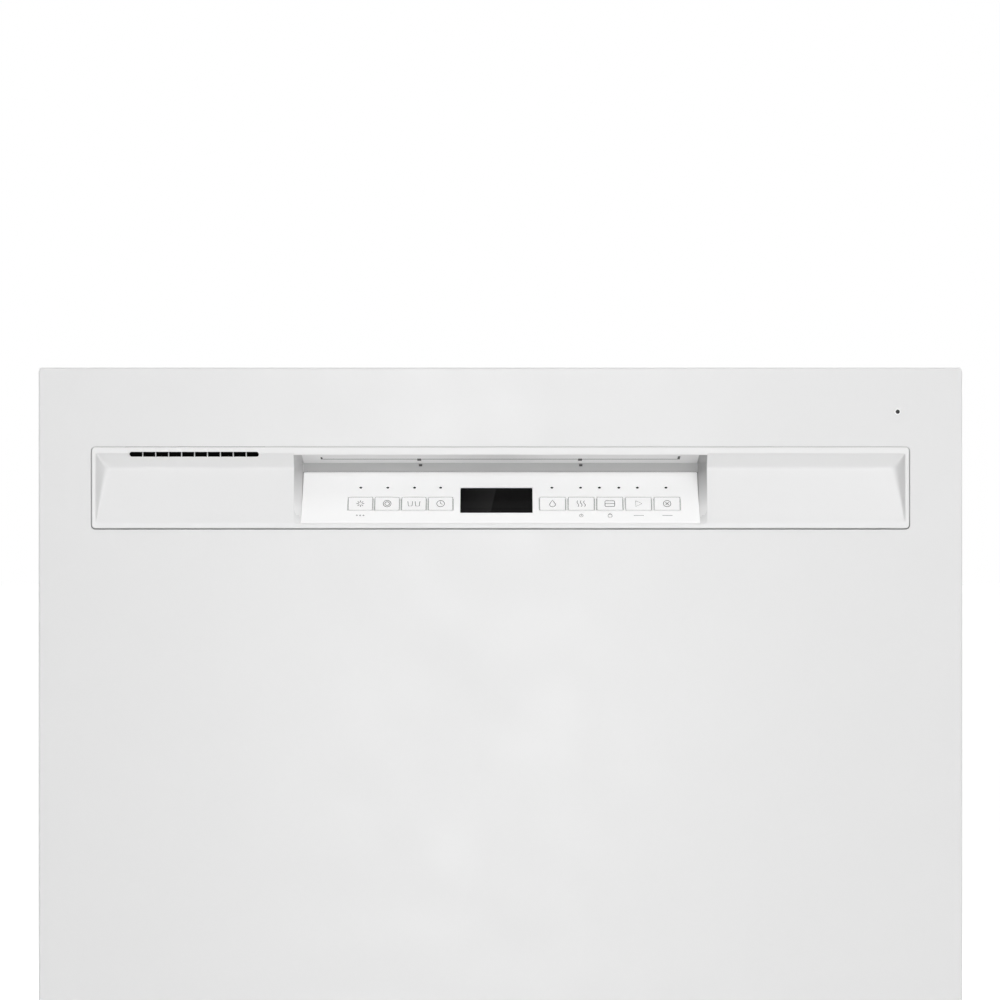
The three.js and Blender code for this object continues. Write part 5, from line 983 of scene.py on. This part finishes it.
# Door springs: hooked ends on studs at the arm's tail and the base, with a close coil between
SPRING_ENDS = np.array((-233.0, 165.0)), np.array((-60.0, 60.0))
HOOK_X, COIL_X, EYE, COIL_RADIUS, SPRING_WIRE, LEAD = 294.4, 290.4, 4.4, 4.3, 0.95, 62
TURNS, TURN_STEPS = 28, 14
reach = float(np.linalg.norm(SPRING_ENDS[1] - SPRING_ENDS[0]))
along = (SPRING_ENDS[1] - SPRING_ENDS[0]) / reach
across = np.array((-along[1], along[0]))


def on_spring(x, s, t):
    """A point at a length along the spring and a distance across it."""
    return (x, *(SPRING_ENDS[0] + along * s + across * t))


def hook(x, centre, start):
    return [on_spring(x, centre + EYE * cos(start + t), EYE * sin(start + t))
            for t in spread(16, 0, 1.5 * pi)]


for name, side in SIDES:
    lane, core, near = side * HOOK_X, side * COIL_X, side * (COIL_X + 1)
    coil = []
    for k in range(TURNS * TURN_STEPS + 1):
        a = 2 * pi * k / TURN_STEPS
        s = LEAD + (reach - 2 * LEAD) * k / (TURNS * TURN_STEPS)
        coil.append(on_spring(core + side * COIL_RADIUS * sin(a), s, COIL_RADIUS * cos(a)))
    path = [*hook(lane, 0, pi), on_spring(lane, 14, 0.5), on_spring(near, LEAD - 8, 2), *coil,
            on_spring(near, reach - LEAD + 8, 2), on_spring(lane, reach - 14, -0.5),
            *hook(lane, reach, -pi / 2)]
    Shape().tube(path, SPRING_WIRE, 8, tip=True).piece(f"spring_{name}", "cabinet", "spring_steel", SPRING,
                                                       (f"door_spring_{name}",), 60)


# ------------ feet, pump and base

THREAD_RADIUS, THREAD_PITCH, THREAD_START, THREAD_END = 5.2, 1.75, 13.6, 53
stud = [(0, 13), (5.1, 13)]
for z in np.arange(THREAD_START, THREAD_END, THREAD_PITCH):
    stud += [(THREAD_RADIUS, z), (5.95, z + 0.55), (5.95, z + 0.85), (THREAD_RADIUS, z + 1.4)]
stud += [(5.0, 54), (4.2, 55), (0, 55)]
for name in ("front_left", "front_right", "rear_left", "rear_right"):
    x, y, _ = centre_of(f"foot_{name}")
    foot = Shape()
    foot.turn([(0, 0), (18.6, 0), (20, 1.2), (20, 5.6), (18.8, 7), (12, 8), (0, 8)], (x, y, 0), "z", 44)
    foot.disc(11.4, (7.5, 13.5), (x, y, 0), "z", 6, (0.8, 0.9))
    foot.turn(stud, (x, y, 0), "z", 26)
    foot.piece(f"levelling_foot_{name}", f"foot_{name}_body", "grey_plastic", GREY, (f"foot_{name}",), 30)

MOTOR_Z, MOTOR_X = 120, -214
case = Shape()
for k in range(11):
    x = MOTOR_X + 6.2 * k
    case.disc(44.6, (x, x + 3.6), (0, AXIS_Y, MOTOR_Z), "x", 48, (0.7, 0.5))
for a in angles(6):
    y, z = AXIS_Y + 25.5 * cos(a + 0.5), MOTOR_Z + 25.5 * sin(a + 0.5)
    case.turn([(0, 0), (3.1, 0), (3.6, 0.7), (3.6, 15.4), (0, 15.4)], (-144.6, y, z), "x", 14)
case.block((-206, -178), (8, 32), (164.5, 168.4), 1.2)
case.block((-190, -164), (-31, -22.5), (104, 126), 1.5)
case.piece("motor_windings_case", "cabinet", "zinc", ZINC)

wiring = Shape()
wiring.block((-268, -214), (-236, -190), (70, 112), 1.2)
wiring.block((-269, -213), (-237, -189), (110.6, 112.4), 0.6)
for x in (-262, -220):
    wiring.turn([(0, 0), (3.2, 0), (3.4, 0.5), (2.6, 1.9), (0, 2.2)], (x, -213, 112), "z", 18)
wiring.turn([(0, -2.6), (8.6, -2.6), (9, -2.2), (9, 0), (0, 0)], (-241, -236, 90), "y", 30)
wiring.piece("junction_box", "cabinet", "zinc", ZINC)


def screws(name, body, *groups):
    """A piece of pan heads with a hollow in each, from groups of (xs, ys, zs, axis, out, radius)."""
    heads = Shape()
    for xs, ys, zs, axis, out, radius in groups:
        head = [(0, -0.6), (radius, -0.6), (radius, 0.4), (radius * 0.86, 1.5), (radius * 0.5, 1.9),
                (radius * 0.46, 0.9), (0, 0.9)]
        for centre in ((x, y, z) for x in xs for y in ys for z in zs):
            heads.turn([(r, out * h) for r, h in head], centre, axis, 20)
    heads.piece(name, body, "zinc", ZINC)


screws("door_screws", "door",
       ((-286, 286), (LINER_Y - 0.2,), (470, 620, 800), "y", 1, 3.6),
       ((-150, 150), (LINER_Y - 0.2,), (859,), "y", 1, 3.4),
       *(((side * 298.9,), (-279,), (200, 300, 400), "x", side, 3.4) for _, side in SIDES))
pins = Shape()
for _, side in SIDES:
    head = [(0, 0), (5.6, 0), (6, 0.6), (6, 1.9), (5.2, 2.6), (0, 2.6)]
    pins.turn([(r, side * h) for r, h in head], (side * 298.3, -273, 165), "x", 26)
pins.piece("hinge_pin_heads", "door", "zinc", ZINC)
screws("kick_screws", "cabinet", ((-262, 262), (-243.1,), (34, 96), "y", -1, 4.4))
louvres = Shape()
for x in spread(16, -150, 150):
    for z in (80, 90):
        louvres.block(about(x, 6.5), (-243.9, -242.6), (z, z + 3.4), 0.6)
louvres.piece("kick_louvres", "cabinet", "kick_paint", KICK)
screws("cabinet_screws", "cabinet",
       ((-203, 203), (-221,), (867.2,), "z", 1, 4.2),
       *(((side * 298.6,), (-170, -60, 60, 180, 270), (40,), "x", side, 4.0) for _, side in SIDES),
       ((-200, -70, 70, 200), (309.1,), (44,), "y", 1, 3.8))


# ------------ fibre blankets

PAD_ROUND, PAD_DIP, PAD_SLACK, LIFT = 2.6, 3.6, 0.6, 0.15
TAPES, TAPE_HALF, TAPE_THICK, TAPE_FOOT = (-229, 25, 278.5), 10, 0.7, 199
PRESSED_HALF, PRESSED_EASE, PRESSED_CALM = 11.5, 20, 8
STITCH, STITCH_MARGIN = 0.75, 3


def blanket_lines(low, high, cells, *more):
    """Eight grid lines to a stitched cell, and close ones along both borders."""
    return lines((low, low + PAD_ROUND, 0.87), (high - PAD_ROUND, high, 0.87), *more,
                 (low, high, (high - low) / cells / 8))


def fibre_blanket(name, body, node, us, vs, cells, place, thick, pressed=()):
    """A blanket with rounded borders, stitched cells, a slightly uneven face and troughs under its tapes."""
    gu, gv = np.meshgrid(us, vs, indexing="ij")
    edge = np.minimum.reduce([gu - us[0], us[-1] - gu, gv - vs[0], vs[-1] - gv])
    inset = PAD_ROUND * (1 - np.sqrt(1 - (1 - np.clip(edge / PAD_ROUND, 0, 1)) ** 2))
    across = np.abs(np.sin(pi * (gu - us[0]) / (us[-1] - us[0]) * cells[0]))
    along = np.abs(np.sin(pi * (gv - vs[0]) / (vs[-1] - vs[0]) * cells[1]))
    dip = PAD_DIP * (1 - (across * along) ** 0.42)
    drift = 0.25 + 0.22 * np.sin(gu * 0.031 + 1.7 * np.sin(gv * 0.023)) * np.cos(gv * 0.037 + gu * 0.011)
    for at in pressed:
        away = np.abs(gv - at) - PRESSED_HALF
        ease = np.clip(away / PRESSED_EASE, 0, 1)
        dip = np.maximum(dip, PAD_DIP * (1 - ease * ease * (3 - 2 * ease)))
        drift = drift * np.clip(away / PRESSED_CALM, 0, 1)
    face = thick - PAD_SLACK - dip - drift - inset
    verts = [[p + n * level[i, j] for p, n in zip(*place(u, v))]
             for level in (face, inset) for i, u in enumerate(us) for j, v in enumerate(vs)]
    top, under = np.arange(len(verts)).reshape(2, len(us), len(vs))
    sheets = [(t[:-1, :-1], t[:-1, 1:], t[1:, 1:], t[1:, :-1]) for t in (top, under)]
    sides = [(t[:-1], t[1:], b[1:], b[:-1]) for t, b in (
        (top[:, 0], under[:, 0]), (top[:, -1], under[:, -1]), (top[0], under[0]), (top[-1], under[-1]))]
    faces = [quad for corners in sheets + sides for quad in np.stack(corners, -1).reshape(-1, 4).tolist()]
    Shape().add(verts, faces).piece(name, body, "felt", FELT, (node,), 70)
    return face


def stitching(us, vs, cells, place, face):
    """Threads along the seams between cells, apart from those under a tape."""
    def on_face(i, j):
        return [p + n * (face[i, j] + LIFT) for p, n in zip(*place(us[i], vs[j]))]

    def seams(values, count):
        return [int(np.argmin(np.abs(values - at))) for at in spread(count + 1, values[0], values[-1])[1:-1]]

    threads = Shape()
    for i in seams(us, cells[0]):
        threads.tube([on_face(i, j) for j in range(STITCH_MARGIN, len(vs) - STITCH_MARGIN)], STITCH, 6)
    for j in seams(vs, cells[1]):
        if all(abs(vs[j] - at) > PRESSED_HALF for at in TAPES):
            threads.tube([on_face(i, j) for i in range(STITCH_MARGIN, len(us) - STITCH_MARGIN)], STITCH, 6)
    return threads


(_, WRAP_FRONT, WRAP_FOOT), (WRAP_HALF, WRAP_BACK, WRAP_TOP) = box_of("insulation_wrap")
WRAP_THICK, TUB_TURN = 7.7, 10.0
TUB_HALF, TUB_HEAD = WRAP_HALF - WRAP_THICK, WRAP_TOP - WRAP_THICK
RISE = TUB_HEAD - TUB_TURN - WRAP_FOOT
CORNER = RISE + pi / 2 * TUB_TURN
WRAP_LENGTH = 2 * (CORNER + TUB_HALF - TUB_TURN)
WRAP_CELLS, DOOR_CELLS = (20, 6), (6, 6)


def around_tub(s, y):
    """The place and direction outwards at a length along the way up, over and down the tub."""
    side, run = (-1, s) if s < WRAP_LENGTH / 2 else (1, WRAP_LENGTH - s)
    if run < RISE:
        return (side * TUB_HALF, y, WRAP_FOOT + run), (side, 0, 0)
    if run < CORNER:
        c, s = cos((run - RISE) / TUB_TURN), sin((run - RISE) / TUB_TURN)
        x, z = TUB_HALF - TUB_TURN + TUB_TURN * c, TUB_HEAD - TUB_TURN + TUB_TURN * s
        return (side * x, y, z), (side * c, 0, s)
    return (side * (TUB_HALF - TUB_TURN - (run - CORNER)), y, TUB_HEAD), (0, 0, 1)


wrap_us = blanket_lines(0, WRAP_LENGTH, WRAP_CELLS[0], (RISE, CORNER, 1.9),
                        (WRAP_LENGTH - CORNER, WRAP_LENGTH - RISE, 1.9))
wrap_vs = blanket_lines(WRAP_FRONT, WRAP_BACK, WRAP_CELLS[1])
wrap_face = fibre_blanket("tub_blanket", "cabinet", "insulation_wrap", wrap_us, wrap_vs, WRAP_CELLS,
                          around_tub, WRAP_THICK, TAPES)
threads = stitching(wrap_us, wrap_vs, WRAP_CELLS, around_tub, wrap_face)
threads.piece("blanket_stitches", "cabinet", "felt", THREAD)
pad_low, pad_high = box_of("door_insulation")
fibre_blanket("door_blanket", "door", "door_insulation",
              blanket_lines(pad_low[0], pad_high[0], DOOR_CELLS[0]),
              blanket_lines(pad_low[2], pad_high[2], DOOR_CELLS[1]), DOOR_CELLS,
              lambda x, z: ((x, pad_low[1], z), (0, 1, 0)), pad_high[1] - pad_low[1])


def tape_path(reach):
    """The way of a tape's face over the tub, at a distance from the middle."""
    path = rounded((-reach, reach), (100, reach + TUB_HEAD - TUB_HALF), TUB_TURN + reach - TUB_HALF, 8)
    return [(reach, TAPE_FOOT), *((x, z) for x, z in path if z > TAPE_FOOT), (-reach, TAPE_FOOT)]


tape = Shape()
tape_in = TUB_HALF + WRAP_THICK - PAD_SLACK - PAD_DIP + LIFT
for middle in TAPES:
    y0, y1 = about(middle, TAPE_HALF)
    tape.loft([[(ox, y0, oz), (ox, y1, oz), (ix, y1, iz), (ix, y0, iz)]
               for (ox, oz), (ix, iz) in zip(tape_path(tape_in + TAPE_THICK), tape_path(tape_in))])
tape.piece("wrap_tapes", "cabinet", "stainless", FOIL)


# ------------ tub and dispenser

# Pressed beads and damping pads on the tub's back
beads = Shape()
for x in (-236, 236):
    beads.prism(rounded(about(x, 5), (230, 825), 4.9), "y", 288.5, 291.6, 1.3)
for z in (690, 730, 770, 810):
    beads.prism(rounded((-205, 205), about(z, 4), 3.9), "y", 288.5, 291.4, 1.3)
beads.piece("tub_back_beads", "cabinet", "stainless", STEEL)
pads = Shape()
for x in ((-205, -8), (8, 205)):
    pads.prism(rounded(x, (270, 650), 7), "y", 289.9, 292.3, 0.8)
pads.piece("damping_pads", "cabinet", "felt", MASTIC)

# Water inlet with its slotted cap on the left wall, and stops on the rails
INLET_X, INLET_Y, INLET_Z = -277.2, 60, 440
inlet = Shape().turn([(0, 0), (40, 0), (40, 2.7), (38, 5.7), (33, 7.6), (31, 6.6), (10, 6.6), (8, 8), (0, 8)],
                     (INLET_X, INLET_Y, INLET_Z), "x", 56)
for k in range(7):
    y = INLET_Y - 22 + 6.4 * k
    inlet.block((INLET_X + 6.2, INLET_X + 7.6), (y, y + 3), about(INLET_Z, 22), 0.5)
inlet.piece("tub_inlet_cap", "cabinet", "grey_plastic", GREY)
for name, side in SIDES:
    stops = Shape()
    for y0, y1 in ((-240.6, -231.5), (229.5, 238.6)):
        stops.block(sided(side, 267.2, 273.2), (y0, y1), about(RAIL_Z, 8.1), 1.1)
    stops.piece(f"rail_stops_{name}", f"rack_rail_{name}_body", "grey_plastic", GREY)

# Dispenser: the lid's gasket, its ribbed catch, a button, level marks round the cap and the cap's grip
GASKET_Y, BODY_Y, CAP_Y = (-258.8, -257.95), -258.4, -254.8
(lid_x0, _, lid_z0), (lid_x1, _, lid_z1) = box_of("dispenser_lid")
CAP_X, _, CAP_Z = centre_of("rinse_aid_cap")
inner, outer = (rounded((lid_x0 - i, lid_x1 + i), (lid_z0 - i, lid_z1 + i), 5, 5) for i in (5, 7.2))
gasket = Shape().loft([[(x, y, z) for x, z in outline] for outline, y in (
    (inner, GASKET_Y[0]), (inner, GASKET_Y[1]), (outer, GASKET_Y[1]), (outer, GASKET_Y[0]))], closed=True)
gasket.piece("dispenser_gasket", "door", "rubber", RUBBER)
catch = Shape().block((24, 38), (-259, -253.8), (545, 567), 2.0)
for z in (550, 554, 558, 562):
    catch.block((26, 36), (-254.6, -253.3), about(z, 0.7), 0.4)
for k, (x, z) in enumerate(arc((CAP_X, CAP_Z), 22.5, 200, 340, 5)):
    catch.disc(1.1 + 0.12 * k, (0, 0.8), (x, BODY_Y, z), "y", 14)
catch.turn([(0, 0), (6.4, 0), (6.4, 1), (5.4, 1.4), (0, 1.4)], (100, BODY_Y, 560), "y", 26)
catch.piece("dispenser_catch", "door", "grey_plastic", GREY)
grip = Shape()
for x, z in arc((CAP_X, CAP_Z), 15.9, 0, 345, 23):
    grip.turn([(0, 0), (0.9, 0), (0.7, 0.6), (0, 0.7)], (x, CAP_Y, z), "y", 10)
grip.piece("rinse_cap_grip", "rinse_aid_cap_body", "dark_plastic", DARK)


# ------------ floor

FLOOR_HALF, FLOOR_SHADE, FLOOR_GLOW = 30, 240, 0.70   # half in metres

# It keeps the object's shadow, and the camera sees it as white.
floor_mesh = bpy.data.meshes.new("floor")
floor_mesh.from_pydata([(x * FLOOR_HALF, y * FLOOR_HALF, 0) for x, y in ((-1, -1), (1, -1), (1, 1), (-1, 1))],
                       [], [(0, 1, 2, 3)])
pale = Finish("floor", FLOOR_SHADE, 0.8, Specular_IOR_Level=0.1, Emission_Color=(1, 1, 1, 1))
fill(pale.bsdf, Emission_Strength=white_for_camera(pale.tree, FLOOR_GLOW, 0.0))
floor_mesh.materials.append(pale.material)
new_object("floor", floor_mesh)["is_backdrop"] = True

low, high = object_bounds()
